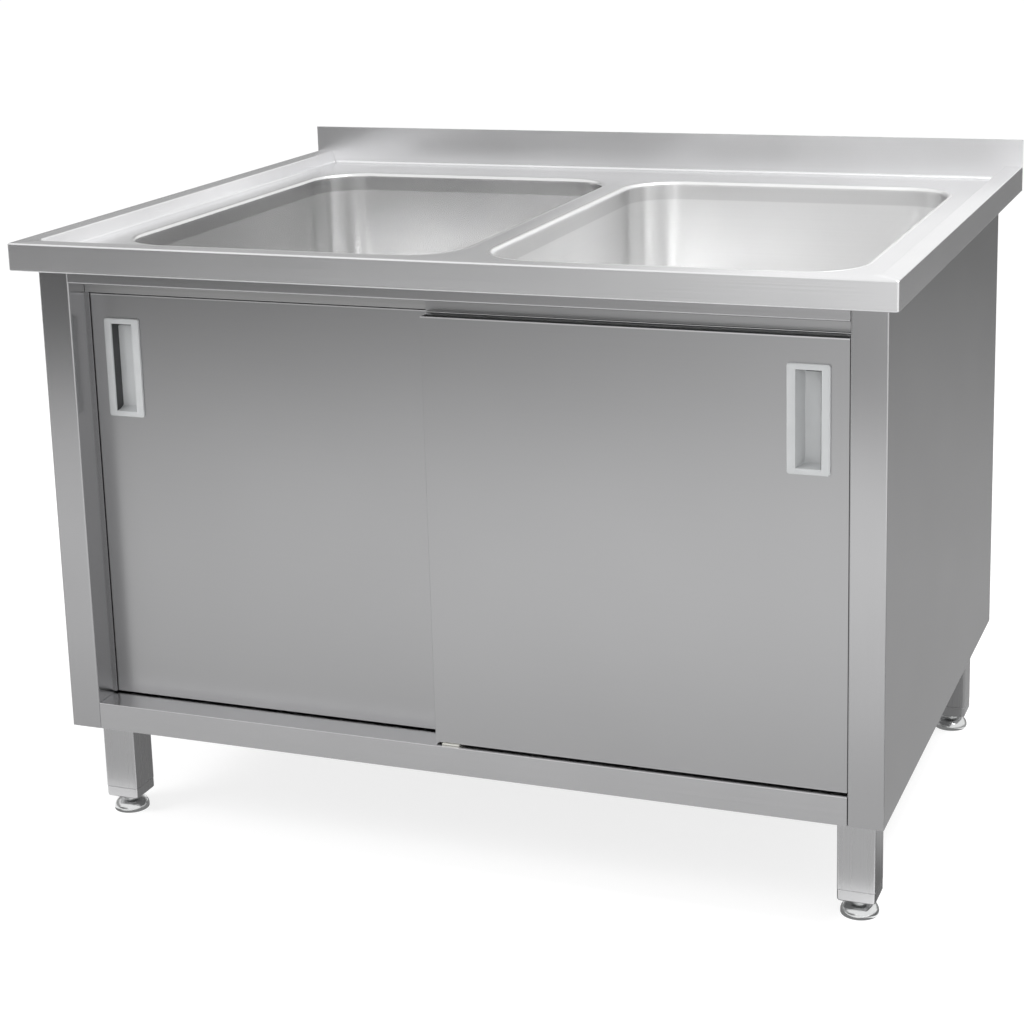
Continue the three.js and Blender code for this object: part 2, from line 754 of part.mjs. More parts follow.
/** Recessed pull: a frame on the door's face round a pocket that reaches into the door. */
function buildHandle(side, face) {
  const front = face - seat - handleProud;
  const bevel = handleProud / 2;
  const frameGeometry = extruded(
    roundedOutline(handlePlan(side, handleWidth - 2 * bevel, handleHeight - 2 * bevel, handleCorner)), bevel);
  const frame = join(
    solid(frameGeometry.rotateX(Math.PI / 2).translate(0, front + bevel, handleCentre)),
    throughDoor(side, handleWidth, handleHeight, handleCorner, front + bevel / 2, face - seat));
  const pocket = throughDoor(
    side, handleOpenWidth + 2 * handleWall, handleOpenHeight + 2 * handleWall, handleCorner,
    face - seat - bevel, face + handlePocket + handleWall);
  const space = throughDoor(
    side, handleOpenWidth, handleOpenHeight, handleCorner / 2, front - overshoot, face + handlePocket);
  return cut(join(frame, pocket), space);
}

const hangerPlaces = (side) => {
  const [left, right] = doorRange(side);
  return [left + hangerInset, right - hangerInset];
};

/** Hanger: a plate on the door's back with two bolt heads and the roller's axle. */
function buildHanger(x, face) {
  const front = face + doorThickness + seat;
  const rear = front + hangerSheet;
  const axleZ = trackLedge + seat + rollerDiameter / 2;
  const half = hangerWidth / 2;
  const outline = [
    [x - half, hangerBottom], [x + half, hangerBottom], [x + half, doorTop],
    [x + axleShoulder, axleZ], [x + axleShoulder / 2, axleZ + eyeRise],
    [x - axleShoulder / 2, axleZ + eyeRise], [x - axleShoulder, axleZ], [x - half, doorTop],
  ];
  const plate = solid(extruded(outline, hangerSheet).rotateX(Math.PI / 2).translate(0, rear, 0));
  const run = hangerSheet + axleHeadHeight + 2 * turn + rollerWidth;
  const axle = turnedAlongY([
    [0, hangerSheet / 2], [axleShoulder / 2, hangerSheet / 2],
    [axleShoulder / 2, hangerSheet + axleHeadHeight], [axleDiameter / 2, hangerSheet + axleHeadHeight],
    [axleDiameter / 2, run], [axleHead / 2, run], [axleHead / 2, run + axleHeadHeight / 2],
    [0, run + axleHeadHeight / 2],
  ], x, front, axleZ);
  const bolts = [0, 1].map((i) => turnedAlongY([
    [0, hangerSheet / 2], [boltHead / 2, hangerSheet / 2], [boltHead / 2, hangerSheet + boltHeadHeight / 2],
    [boltHead * 0.4, hangerSheet + boltHeadHeight], [0, hangerSheet + boltHeadHeight],
  ], x + (i - 0.5) * boltPitch, front, hangerBottom + boltRise, 6));
  return join(plate, axle, ...bolts);
}

/** Nylon roller on the hanger's axle. */
function buildRoller(x, face) {
  const start = face + doorThickness + seat + hangerSheet + axleHeadHeight + turn;
  const radius = rollerDiameter / 2;
  const bore = axleDiameter / 2 + turn;
  return turnedAlongY([
    [bore, 0], [radius - rollerCrown, 0], [radius, rollerCrown], [radius, rollerWidth - rollerCrown],
    [radius - rollerCrown, rollerWidth], [bore, rollerWidth], [bore, 0],
  ], x, start, trackLedge + seat + radius);
}

for (const [name, side, face] of [['left', -1, doorFaces.rear], ['right', 1, doorFaces.front]]) {
  add(`door_${name}_front_skin`, buildFrontSkin(side, face), materials.doorSteel);
  add(`door_${name}_back_skin`, buildBackSkin(side, face), materials.doorSteel);
  add(`door_${name}_handle`, buildHandle(side, face), materials.handlePlastic);
  hangerPlaces(side).forEach((x, i) => {
    add(`door_${name}_hanger_${i + 1}`, buildHanger(x, face), materials.structureSteel);
    add(`door_${name}_roller_${i + 1}`, buildRoller(x, face), materials.nylon);
  });
}

// ---------------------------------------------------------------------------------------------
// Legs and feet
// ---------------------------------------------------------------------------------------------

const legX = outerX - legSideInset - legSize / 2;
const legRows = {
  front: frontY + legFrontInset + legSize / 2,
  rear: rearY - legRearInset - legSize / 2,
};
const legBottom = collarBottom + collarHeight + seat;
const legPlateUnder = shelfUnder - seat - legPlateSheet;
const legTop = legPlateUnder - seat;

/** Square prism on a leg's axis. */
const square = (x, y, size, z0, z1) => block(
  x - size / 2, x + size / 2, y - size / 2, y + size / 2, z0, z1);

function buildLeg(x, y) {
  const outline = { x, y, w: legSize, d: legSize, r: 2 * legWall, steps: 3 };
  const tube = upright(roundedOutline(outline), legBottom, legTop);
  const bore = upright(roundedOutline(outline, legWall), legBottom - overshoot, legTop + overshoot);
  return cut(tube, bore);
}

/** End collar: a band as wide as the leg, a plug inside it and a bore for the foot's stem. */
function buildCollar(x, y) {
  const outline = { x, y, w: legSize, d: legSize, r: 2 * legWall, steps: 3 };
  const top = collarBottom + collarHeight;
  const band = upright(roundedOutline(outline), collarBottom, top);
  const plug = square(x, y, legSize - 2 * (legWall + 2 * seat), top - overshoot, top + collarPlug);
  const bore = bar(stemDiameter / 2 + turn, x, y, collarBottom - overshoot, top + collarPlug + overshoot);
  return cut(join(band, plug), bore);
}

/** Foot: a domed disc and its threaded stem. */
function buildFoot(x, y) {
  const radius = footDiameter / 2;
  const stem = stemDiameter / 2;
  const hub = hubDiameter / 2;
  const hubTop = footDome + hubHeight;
  const dome = [1, 2, 3, 4].map((i) => {
    const angle = (i / 4) * (Math.PI / 2);
    return [
      hub + (radius - hub) * Math.cos(angle), footEdge + (footDome - footEdge) * Math.sin(angle),
    ];
  });
  return turned([
    [0, 0], [radius - footRound, 0], [radius, footRound], [radius, footEdge], ...dome,
    [hub, hubTop - footRound], [hub - footRound, hubTop], [stem, hubTop], [stem, stemTop],
    [0, stemTop],
  ], x, y);
}

/** Plate over a leg, level with the leg's outer side and reaching inwards under the shelf. */
const buildLegPlate = (x, y, inwards) => square(
  x, y + inwards * (legPlateSize - legSize) / 2, legPlateSize, legPlateUnder,
  legPlateUnder + legPlateSheet);

for (const [row, y] of Object.entries(legRows)) {
  for (const [name, side] of [['left', -1], ['right', 1]]) {
    const inwards = -Math.sign(y);
    add(`leg_plate_${row}_${name}`, buildLegPlate(side * legX, y, inwards), materials.structureSteel);
    add(`leg_${row}_${name}`, buildLeg(side * legX, y), materials.panelSteel);
    add(`leg_collar_${row}_${name}`, buildCollar(side * legX, y), materials.polishedSteel);
    add(`foot_${row}_${name}`, buildFoot(side * legX, y), materials.polishedSteel);
  }
}

export default sinkUnit;
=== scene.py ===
"""Free-standing stainless steel sink unit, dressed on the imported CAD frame.

Every size is in millimetres in the CAD's own frame: +X to the right, +Y to the rear, +Z up, with
the origin on the floor under the middle of the worktop. Meshes are turned to metres at the end.
"""

from __future__ import annotations

import json
import logging
import math
from dataclasses import dataclass, field
from enum import Enum
from typing import Any, Iterable, Mapping, Sequence

import bmesh
import bpy
import numpy as np
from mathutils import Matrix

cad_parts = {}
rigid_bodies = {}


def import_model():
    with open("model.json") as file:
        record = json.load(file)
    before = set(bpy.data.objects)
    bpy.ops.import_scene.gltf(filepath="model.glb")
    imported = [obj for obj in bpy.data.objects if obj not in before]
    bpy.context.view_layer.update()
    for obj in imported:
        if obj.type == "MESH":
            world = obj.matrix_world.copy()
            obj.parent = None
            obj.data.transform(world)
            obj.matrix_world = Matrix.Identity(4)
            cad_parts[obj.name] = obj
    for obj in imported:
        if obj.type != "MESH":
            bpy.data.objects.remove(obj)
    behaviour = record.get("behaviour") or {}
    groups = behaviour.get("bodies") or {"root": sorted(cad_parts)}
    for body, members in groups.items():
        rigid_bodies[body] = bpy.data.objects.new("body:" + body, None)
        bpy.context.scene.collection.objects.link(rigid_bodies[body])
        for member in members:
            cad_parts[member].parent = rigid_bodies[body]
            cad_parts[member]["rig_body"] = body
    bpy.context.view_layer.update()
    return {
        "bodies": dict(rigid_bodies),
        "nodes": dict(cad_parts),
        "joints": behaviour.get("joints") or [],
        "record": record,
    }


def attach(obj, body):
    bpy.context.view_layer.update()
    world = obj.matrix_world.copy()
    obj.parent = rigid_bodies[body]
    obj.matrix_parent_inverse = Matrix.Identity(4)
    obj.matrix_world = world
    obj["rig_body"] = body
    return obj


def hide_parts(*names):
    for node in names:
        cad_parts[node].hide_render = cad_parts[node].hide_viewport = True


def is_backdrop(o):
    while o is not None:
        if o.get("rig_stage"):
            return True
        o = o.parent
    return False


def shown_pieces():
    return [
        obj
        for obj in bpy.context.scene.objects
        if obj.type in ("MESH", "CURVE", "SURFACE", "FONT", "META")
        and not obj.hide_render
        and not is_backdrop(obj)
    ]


LOG = logging.getLogger("sink_unit")

MM = 0.001
UV_NAME = "grain"
SIDES = {"left": -1.0, "right": 1.0}


# ---------------------------------------------------------------------------------------------
# Colour and nodes
# ---------------------------------------------------------------------------------------------


def linear_rgba(code: str) -> tuple[float, float, float, float]:
    """Turns an sRGB hex colour to linear.

    Args:
        code: six hex digits, such as "c8c9ca".

    Returns:
        Red, green, blue and alpha.
    """
    raw = np.array([int(code[i : i + 2], 16) for i in (0, 2, 4)], float) / 255.0
    low = raw / 12.92
    high = ((raw + 0.055) / 1.055) ** 2.4
    red, green, blue = np.where(raw <= 0.04045, low, high)
    return (float(red), float(green), float(blue), 1.0)


def add_node(
    tree: bpy.types.NodeTree,
    kind: str,
    settings: Mapping[str, Any] | None = None,
    inputs: Mapping[Any, Any] | None = None,
) -> bpy.types.Node:
    """Adds a node with its settings, and sets or links its inputs.

    Args:
        tree: the material's or the world's node tree.
        kind: Blender's name of the node's type.
        settings: attributes of the node.
        inputs: a value or another node's output for each named or numbered input.

    Returns:
        The node.
    """
    node = tree.nodes.new(kind)
    for name, value in (settings or {}).items():
        setattr(node, name, value)
    for name, value in (inputs or {}).items():
        if isinstance(value, bpy.types.NodeSocket):
            tree.links.new(value, node.inputs[name])
        else:
            node.inputs[name].default_value = value
    return node


def add_ramp(
    tree: bpy.types.NodeTree, value: bpy.types.NodeSocket, stops: Sequence[tuple[float, float]]
) -> bpy.types.NodeSocket:
    """Adds a graded tone.

    Args:
        tree: the material's node tree.
        value: the place that the tone depends on.
        stops: (place, tone) in rising order.

    Returns:
        The tone, straight between the stops.
    """
    first, last = stops[0][0], stops[-1][0]
    share = add_node(
        tree, "ShaderNodeMapRange", inputs={"Value": value, "From Min": first, "From Max": last}
    )
    ramp = add_node(tree, "ShaderNodeValToRGB", inputs={"Fac": share.outputs["Result"]})
    elements = ramp.color_ramp.elements
    while len(elements) < len(stops):
        elements.new(0.5)
    for element, (place, tone) in zip(elements, stops):
        element.position = (place - first) / (last - first)
        element.color = (tone, tone, tone, 1.0)
    return ramp.outputs["Color"]


def empty_tree(name: str) -> tuple[bpy.types.Material, bpy.types.NodeTree]:
    """Makes a material with an empty node tree.

    Args:
        name: of the material.

    Returns:
        The material and its node tree.
    """
    material = bpy.data.materials.new(name)
    material.use_nodes = True
    material.node_tree.nodes.clear()
    return material, material.node_tree


class Grain(Enum):
    """Which way the belt marks run on a sheet."""

    LEVEL = "level"
    UPRIGHT = "upright"
    MAPPED = "mapped"


# Noise scales per metre along X, Y and Z, and the direction that the gloss spreads in, which is
# across the belt marks.
GRAIN_SCALE = {
    Grain.LEVEL: (2.2, 700.0, 700.0),
    Grain.UPRIGHT: (700.0, 700.0, 2.2),
    Grain.MAPPED: (2.2, 700.0, 1.0),
}
GRAIN_ACROSS = {
    Grain.LEVEL: (0.0, 1.0, 1.0),
    Grain.UPRIGHT: (1.0, 1.0, 0.0),
}


@dataclass(frozen=True)
class BrushedStainless:
    """Type 304 stainless sheet, belt-brushed: fine parallel marks that spread the gloss across them.

    The real marks are some 0.1 mm apart, too fine to show, so they are drawn about 1.4 mm apart.
    """

    name: str
    colour: str
    roughness: float
    grain: Grain
    spread: float = 0.5
    mottling: float = 0.05
    streaks: float = 0.06
    relief: float = 0.000006
    cloud_scale: float = 5.0
    # Painted light and shade: stops of (place in metres, tone) that multiply the colour, by height
    # and by distance from the middle.
    painted_shading_by_height: tuple[tuple[float, float], ...] = ()
    painted_shading_by_width: tuple[tuple[float, float], ...] = ()

    def material(self) -> bpy.types.Material:
        """Builds the material.

        Returns:
            A metal whose roughness, tone and relief follow stretched noise.
        """
        material, tree = empty_tree(self.name)
        coordinates = add_node(tree, "ShaderNodeTexCoord").outputs["Object"]
        if self.grain is Grain.MAPPED:
            place = add_node(tree, "ShaderNodeUVMap", {"uv_map": UV_NAME}).outputs["UV"]
        else:
            place = coordinates
        along = add_node(
            tree, "ShaderNodeMapping", inputs={"Vector": place, "Scale": GRAIN_SCALE[self.grain]}
        )
        marks = add_node(
            tree,
            "ShaderNodeTexNoise",
            inputs={"Vector": along.outputs[0], "Scale": 1.0, "Detail": 3.0, "Roughness": 0.6},
        )
        clouds = add_node(
            tree,
            "ShaderNodeTexNoise",
            inputs={
                "Vector": coordinates,
                "Scale": self.cloud_scale,
                "Detail": 2.0,
                "Roughness": 0.5,
            },
        )
        tone = add_node(
            tree,
            "ShaderNodeMapRange",
            inputs={
                "Value": marks.outputs["Fac"],
                "From Min": 0.3,
                "From Max": 0.7,
                "To Min": 1.0 - self.streaks,
                "To Max": 1.0 + self.streaks,
            },
        )
        patch = add_node(
            tree,
            "ShaderNodeMapRange",
            inputs={
                "Value": clouds.outputs["Fac"],
                "From Min": 0.3,
                "From Max": 0.7,
                "To Min": 1.0 - self.mottling,
                "To Max": 1.0 + self.mottling,
            },
        )
        shade = add_node(
            tree,
            "ShaderNodeMath",
            {"operation": "MULTIPLY"},
            {0: tone.outputs["Result"], 1: patch.outputs["Result"]},
        )
        # Painted light and shade by height and by distance from the middle, where the finish sets
        # them.
        shade = self._painted_shading(tree, coordinates, shade)
        colour = add_node(
            tree,
            "ShaderNodeVectorMath",
            {"operation": "SCALE"},
            {0: linear_rgba(self.colour)[:3], "Scale": shade.outputs[0]},
        )
        gloss = add_node(
            tree,
            "ShaderNodeMapRange",
            inputs={
                "Value": marks.outputs["Fac"],
                "From Min": 0.3,
                "From Max": 0.7,
                "To Min": self.roughness - 0.5 * self.streaks,
                "To Max": self.roughness + 0.5 * self.streaks,
            },
        )
        bump = add_node(
            tree,
            "ShaderNodeBump",
            inputs={
                "Strength": 0.5,
                "Distance": self.relief,
                "Height": marks.outputs["Fac"],
            },
        )
        inputs = {
            "Base Color": colour.outputs[0],
            "Metallic": 1.0,
            "Roughness": gloss.outputs["Result"],
            "Anisotropic": self.spread,
            "Normal": bump.outputs["Normal"],
        }
        if self.grain is Grain.MAPPED:
            tangent = add_node(
                tree, "ShaderNodeTangent", {"direction_type": "UV_MAP", "uv_map": UV_NAME}
            )
            inputs["Anisotropic Rotation"] = 0.25
            inputs["Tangent"] = tangent.outputs[0]
        else:
            x, y, z = GRAIN_ACROSS[self.grain]
            across = add_node(tree, "ShaderNodeCombineXYZ", inputs={"X": x, "Y": y, "Z": z})
            inputs["Tangent"] = across.outputs[0]
        shader = add_node(tree, "ShaderNodeBsdfPrincipled", inputs=inputs)
        add_node(tree, "ShaderNodeOutputMaterial", inputs={"Surface": shader.outputs[0]})
        return material

    def _painted_shading(
        self, tree: bpy.types.NodeTree, place: bpy.types.NodeSocket, shade: bpy.types.Node
    ) -> bpy.types.Node:
        """Multiplies the shade by painted light and shade: tones that follow the height and the
        distance from the middle.

        Args:
            tree: node tree to fill.
            place: object coordinates.
            shade: node that gives the shade so far.

        Returns:
            The node that gives the shade with its painted light and shade, which is the same one
            where no tone is set.
        """
        parts = add_node(tree, "ShaderNodeSeparateXYZ", inputs={0: place})
        aside = add_node(
            tree, "ShaderNodeMath", {"operation": "ABSOLUTE"}, {0: parts.outputs["X"]}
        )
        for value, stops in (
            (parts.outputs["Z"], self.painted_shading_by_height),
            (aside.outputs[0], self.painted_shading_by_width),
        ):
            if stops:
                tone = add_ramp(tree, value, stops)
                factors = {0: shade.outputs[0], 1: tone}
                shade = add_node(tree, "ShaderNodeMath", {"operation": "MULTIPLY"}, factors)
        return shade


@dataclass(frozen=True)
class MouldedPlastic:
    """Injection-moulded plastic: a soft sheen and a fine spark-eroded texture."""

    name: str
    colour: str
    roughness: float = 0.38
    texture: float = 0.00004
    grit_scale: float = 900.0

    def material(self) -> bpy.types.Material:
        """Builds the material.

        Returns:
            A dielectric with fine grit in its relief and faint clouds in its tone.
        """
        material, tree = empty_tree(self.name)
        coordinates = add_node(tree, "ShaderNodeTexCoord").outputs["Object"]
        grit = add_node(
            tree,
            "ShaderNodeTexNoise",
            inputs={"Vector": coordinates, "Scale": self.grit_scale, "Detail": 2.0},
        )
        clouds = add_node(
            tree,
            "ShaderNodeTexNoise",
            inputs={"Vector": coordinates, "Scale": 30.0, "Detail": 2.0},
        )
        tone = add_node(
            tree,
            "ShaderNodeMapRange",
            inputs={"Value": clouds.outputs["Fac"], "To Min": 0.95, "To Max": 1.05},
        )
        colour = add_node(
            tree,
            "ShaderNodeVectorMath",
            {"operation": "SCALE"},
            {0: linear_rgba(self.colour)[:3], "Scale": tone.outputs["Result"]},
        )
        bump = add_node(
            tree,
            "ShaderNodeBump",
            inputs={"Strength": 0.4, "Distance": self.texture, "Height": grit.outputs["Fac"]},
        )
        shader = add_node(
            tree,
            "ShaderNodeBsdfPrincipled",
            inputs={
                "Base Color": colour.outputs[0],
                "Roughness": self.roughness,
                "IOR": 1.49,
                "Normal": bump.outputs["Normal"],
            },
        )
        add_node(tree, "ShaderNodeOutputMaterial", inputs={"Surface": shader.outputs[0]})
        return material


FINISHES = {
    # Ground after pressing: pale, with a gloss that spreads wide across the marks.
    "worktop": BrushedStainless(
        "brushed stainless, ground worktop", "ececed", 0.26, Grain.MAPPED, 0.6, 0.03, 0.025,
        0.000002,
    ),
    # Drawn and satin: soft, with painted shade in a darker band just below the lip.
    "bowl_left": BrushedStainless(
        "satin stainless, drawn left bowl", "e7e7e7", 0.25, Grain.MAPPED, 0.2, 0.02, 0.004,
        0.000001,
        painted_shading_by_height=((0.802, 1.0), (0.8035, 0.75), (0.822, 0.75), (0.826, 1.0)),
    ),
    # The same steel, softer, with painted light making it a little paler and a fainter band of
    # painted shade.
    "bowl_right": BrushedStainless(
        "satin stainless, drawn right bowl", "f0f0f0", 0.30, Grain.MAPPED, 0.2, 0.02, 0.01,
        0.000001,
        painted_shading_by_height=((0.802, 1.0), (0.8035, 0.86), (0.822, 0.86), (0.826, 1.0)),
    ),
    # Level marks so fine that they read as an even pale sheen.
    "upstand": BrushedStainless(
        "brushed stainless, upstand", "e3e3e4", 0.28, Grain.LEVEL, 0.3, 0.04, 0.006, 0.0000005
    ),
    # Even mid-grey sheen, with a painted highlight as a bright line along the folded head.
    "door": BrushedStainless(
        "fine satin stainless, door skin", "b9b9ba", 0.28, Grain.LEVEL, 0.2, 0.01, 0.005,
        0.000001,
        painted_shading_by_height=((0.7664, 1.0), (0.7669, 1.65), (0.7688, 1.65), (0.7695, 1.0)),
    ),
    # Upright marks, a firmer reflection, and painted shade: darker within 535 mm of the middle, for
    # the return beside the door, and so also the part of the back panel within that width.
    "panel": BrushedStainless(
        "brushed stainless, upright grain", "bbbbbc", 0.23, Grain.UPRIGHT, 0.3, 0.03, 0.010,
        0.000001,
        painted_shading_by_width=((0.5353, 0.75), (0.5362, 1.0)),
    ),
    # Level marks, and a painted highlight that makes the shelf's upper face paler.
    "rail": BrushedStainless(
        "brushed stainless, level grain", "c5c5c6", 0.24, Grain.LEVEL, 0.1, 0.03, 0.02,
        0.000001,
        painted_shading_by_height=((0.1866, 1.0), (0.1872, 1.6), (0.1880, 1.6), (0.1900, 1.0)),
    ),
    # Upright marks that show as faint streaks down the tube.
    "leg": BrushedStainless(
        "brushed stainless, square tube", "c3c3c4", 0.28, Grain.UPRIGHT, 0.3, 0.04, 0.025,
        0.000003,
    ),
    # Plain satin, a shade apart from the tube above it.
    "collar": BrushedStainless(
        "satin stainless, cast end collar", "c4c4c5", 0.26, Grain.UPRIGHT, 0.0, 0.03, 0.02
    ),
    # Dull mill finish without a clear reflection.
    "hidden": BrushedStainless(
        "mill-finished stainless, brackets and tracks", "b6b6b6", 0.45, Grain.LEVEL, 0.2
    ),
    # Bright and close to a mirror, so edges and domes carry highlights.
    "polished": BrushedStainless(
        "polished stainless, turned and pressed", "dcdddd", 0.20, Grain.LEVEL, 0.0, 0.03, 0.02
    ),
    # Pale grey with a soft sheen and a fine grit.
    "handle": MouldedPlastic("moulded ABS, light grey", "d2d4d5"),
    # Dark grey sheet inside the pull: painted shadow.
    "painted_shadow": MouldedPlastic("moulded ABS, undercut of the pull", "464748", 0.5),
    # Slightly warm white with a dull sheen.
    "nylon": MouldedPlastic("moulded nylon, natural white", "e4e3dc", 0.45),
}


# ---------------------------------------------------------------------------------------------
# Surfaces as arrays
# ---------------------------------------------------------------------------------------------


@dataclass
class Sheet:
    """A grid of points (rows, columns, 3) in millimetres, with belt-mark coordinates in metres."""

    points: np.ndarray
    grain: np.ndarray
    wraps: bool = False
    flipped: bool = False

    def faces(self, first: int) -> np.ndarray:
        """Joins each cell's corners into a quad.

        Args:
            first: number of the grid's first vertex in the mesh.

        Returns:
            An array (cells, 4) of vertex numbers.
        """
        rows, columns = self.points.shape[:2]
        numbers = np.arange(rows * columns).reshape(rows, columns) + first
        if self.wraps:
            numbers = np.concatenate([numbers, numbers[:, :1]], axis=1)
        quads = np.stack(
            [numbers[:-1, :-1], numbers[:-1, 1:], numbers[1:, 1:], numbers[1:, :-1]], axis=-1
        ).reshape(-1, 4)
        return quads[:, ::-1] if self.flipped else quads


def path_lengths(points: np.ndarray, axis: int) -> np.ndarray:
    """Running length along one axis of a grid, in metres.

    Args:
        points: a grid (rows, columns, 3) in millimetres.
        axis: 0 down the rows or 1 along the columns.

    Returns:
        An array (rows, columns): the sum of the distances between neighbours so far.
    """
    steps = np.linalg.norm(np.diff(points, axis=axis), axis=-1)
    start = np.zeros_like(np.take(steps, [0], axis=axis))
    return np.concatenate([start, np.cumsum(steps, axis=axis)], axis=axis) * MM


def sheet_along(points: np.ndarray, wraps: bool = False, flipped: bool = False) -> Sheet:
    """A sheet whose belt marks run along its rows' points.

    Args:
        points: a grid (rows, columns, 3) in millimetres.
        wraps: whether the last column joins the first.
        flipped: whether the faces are turned round.

    Returns:
        The sheet, its grain the mean length along the columns and the mean length down the rows.
    """
    along = path_lengths(points, 1).mean(axis=0, keepdims=True)
    down = path_lengths(points, 0).mean(axis=1, keepdims=True)
    grain = np.stack(np.broadcast_arrays(along, down), axis=-1)
    return Sheet(points, grain, wraps, flipped)


def plan_loop(
    centre: np.ndarray, half: np.ndarray, radii: np.ndarray, arc_steps: int, side_steps: int
) -> np.ndarray:
    """Rounded rectangles in plan, one to a row, all with the same number of points.

    Each quarter is the corner's centre plus its radius times (cos a, sin a), and each side is the
    straight line from one quarter's end to the next one's start.

    Args:
        centre: (rows, 2) middle of each rectangle.
        half: (rows, 2) half of its width and depth.
        radii: (rows, 4) corner radii, from the (+X, +Y) corner anticlockwise.
        arc_steps: pieces in a quarter.
        side_steps: pieces in a side.

    Returns:
        An array (rows, 4 * (arc_steps + side_steps), 2), anticlockwise from the (+X, +Y) corner.
    """
    signs = np.array([[1, 1], [-1, 1], [-1, -1], [1, -1]], float)
    middles = centre[:, None, :] + signs * (half[:, None, :] - radii[:, :, None])
    angles = (np.arange(4)[:, None] + np.linspace(0, 1, arc_steps + 1)[None, :]) * math.pi / 2
    around = np.stack([np.cos(angles), np.sin(angles)], axis=-1)
    arcs = middles[:, :, None, :] + radii[:, :, None, None] * around[None]
    share = (np.arange(1, side_steps) / side_steps)[None, None, :, None]
    ends = arcs[:, :, -1:, :]
    starts = np.roll(arcs[:, :, :1, :], -1, axis=1)
    sides = ends + (starts - ends) * share
    return np.concatenate([arcs, sides], axis=2).reshape(len(centre), -1, 2)


def stack_loops(loops: np.ndarray, heights: np.ndarray) -> np.ndarray:
    """Plan loops (rows, points, 2) at their heights (rows,), as points (rows, points, 3)."""
    level = np.broadcast_to(heights[:, None, None], loops.shape[:2] + (1,))
    return np.concatenate([loops, level], axis=-1)


def fillet(
    line: Sequence[tuple[float, float]], radii: Sequence[float], steps: int = 6
) -> np.ndarray:
    """Rounds the corners of an open line.

    At each corner the two legs are tangent to an arc of that radius: its points are the corner
    plus the arc centre's offset, less the radius times a normal that turns from leg to leg.

    Args:
        line: corner points, ends included.
        radii: one radius for each inner corner.
        steps: pieces in an arc.

    Returns:
        An array (points, 2).
    """
    points = np.array(line, float)
    legs = np.diff(points, axis=0)
    legs /= np.linalg.norm(legs, axis=1, keepdims=True)
    before, after = legs[:-1], legs[1:]
    turn = np.arctan2(
        before[:, 0] * after[:, 1] - before[:, 1] * after[:, 0], (before * after).sum(axis=1)
    )
    side = np.sign(turn)
    normal = np.stack([-before[:, 1], before[:, 0]], axis=1) * side[:, None]
    reach = np.array(radii, float) * np.tan(np.abs(turn) / 2)
    centre = points[1:-1] - before * reach[:, None] + normal * np.array(radii)[:, None]
    angles = turn[:, None] * np.linspace(0, 1, steps + 1)[None, :]
    cos, sin = np.cos(angles), np.sin(angles)
    turned = np.stack(
        [
            normal[:, None, 0] * cos - normal[:, None, 1] * sin,
            normal[:, None, 0] * sin + normal[:, None, 1] * cos,
        ],
        axis=-1,
    )
    arcs = centre[:, None, :] - turned * np.array(radii)[:, None, None]
    return np.concatenate([points[:1], arcs.reshape(-1, 2), points[-1:]])


def folded_outline(
    line: Sequence[tuple[float, float]], thickness: float, bend: float, steps: int = 5
) -> np.ndarray:
    """Closed cross-section of a folded sheet.

    The given face is the line with its folds rounded, and the other face is the same line moved
    by the thickness to the left of its travel, so both faces of a fold share one centre.

    Args:
        line: corners of the given face.
        thickness: of the sheet.
        bend: inner radius of each fold.
        steps: pieces in a fold.

    Returns:
        An array (2, points, 2): the given face and the other face.
    """
    points = np.array(line, float)
    legs = np.diff(points, axis=0)
    legs /= np.linalg.norm(legs, axis=1, keepdims=True)
    left = np.stack([-legs[:, 1], legs[:, 0]], axis=1)
    mitre = left[:-1] + left[1:]
    mitre *= 2 / (mitre**2).sum(axis=1, keepdims=True)
    offsets = np.concatenate([left[:1], mitre, left[-1:]])
    cross = legs[:-1, 0] * legs[1:, 1] - legs[:-1, 1] * legs[1:, 0]
    given = np.where(cross > 0, bend + thickness, bend)
    other = np.where(cross > 0, bend, bend + thickness)
    first = fillet(points, given, steps)
    second = fillet(points + offsets * thickness, other, steps)
    return np.stack([first, second])


class Axis(Enum):
    """Direction that a folded section is carried along."""

    X = "x"
    Z = "z"


def carried(outline: np.ndarray, axis: Axis, stations: Iterable[float]) -> np.ndarray:
    """Carries a plane outline along an axis.

    Args:
        outline: (points, 2): (x, y) to be carried along Z, or (y, z) to be carried along X.
        axis: direction of travel.
        stations: places along it.

    Returns:
        A grid (stations, points, 3).
    """
    places = np.array(list(stations), float)
    flat = np.broadcast_to(outline[None], (len(places),) + outline.shape)
    run = np.broadcast_to(places[:, None, None], flat.shape[:2] + (1,))
    order = [flat, run] if axis is Axis.Z else [run, flat]
    return np.concatenate(order, axis=-1)


def folded_sheets(
    line: Sequence[tuple[float, float]],
    thickness: float,
    bend: float,
    axis: Axis,
    start: float,
    end: float,
) -> list[Sheet]:
    """Closed surface of a folded sheet: its two faces, its two long edges and its two ends.

    Args:
        line: corners of the given face in section.
        thickness: of the sheet, to the left of the line's travel.
        bend: inner radius of the folds.
        axis: direction that the section is carried along.
        start: one end.
        end: the other end.

    Returns:
        Sheets that close on each other once their doubles are merged.
    """
    faces = folded_outline(line, thickness, bend)
    stations = np.linspace(start, end, 9)
    ring = np.concatenate([faces[0], faces[1][::-1]])
    skin = sheet_along(carried(ring, axis, stations), wraps=True)
    skin.grain = skin.grain[:, :, ::-1] if axis is Axis.Z else skin.grain
    caps = [
        sheet_along(
            np.stack([carried(face, axis, [place])[0] for face in faces]), flipped=flipped
        )
        for place, flipped in ((start, False), (end, True))
    ]
    return [skin, *caps]


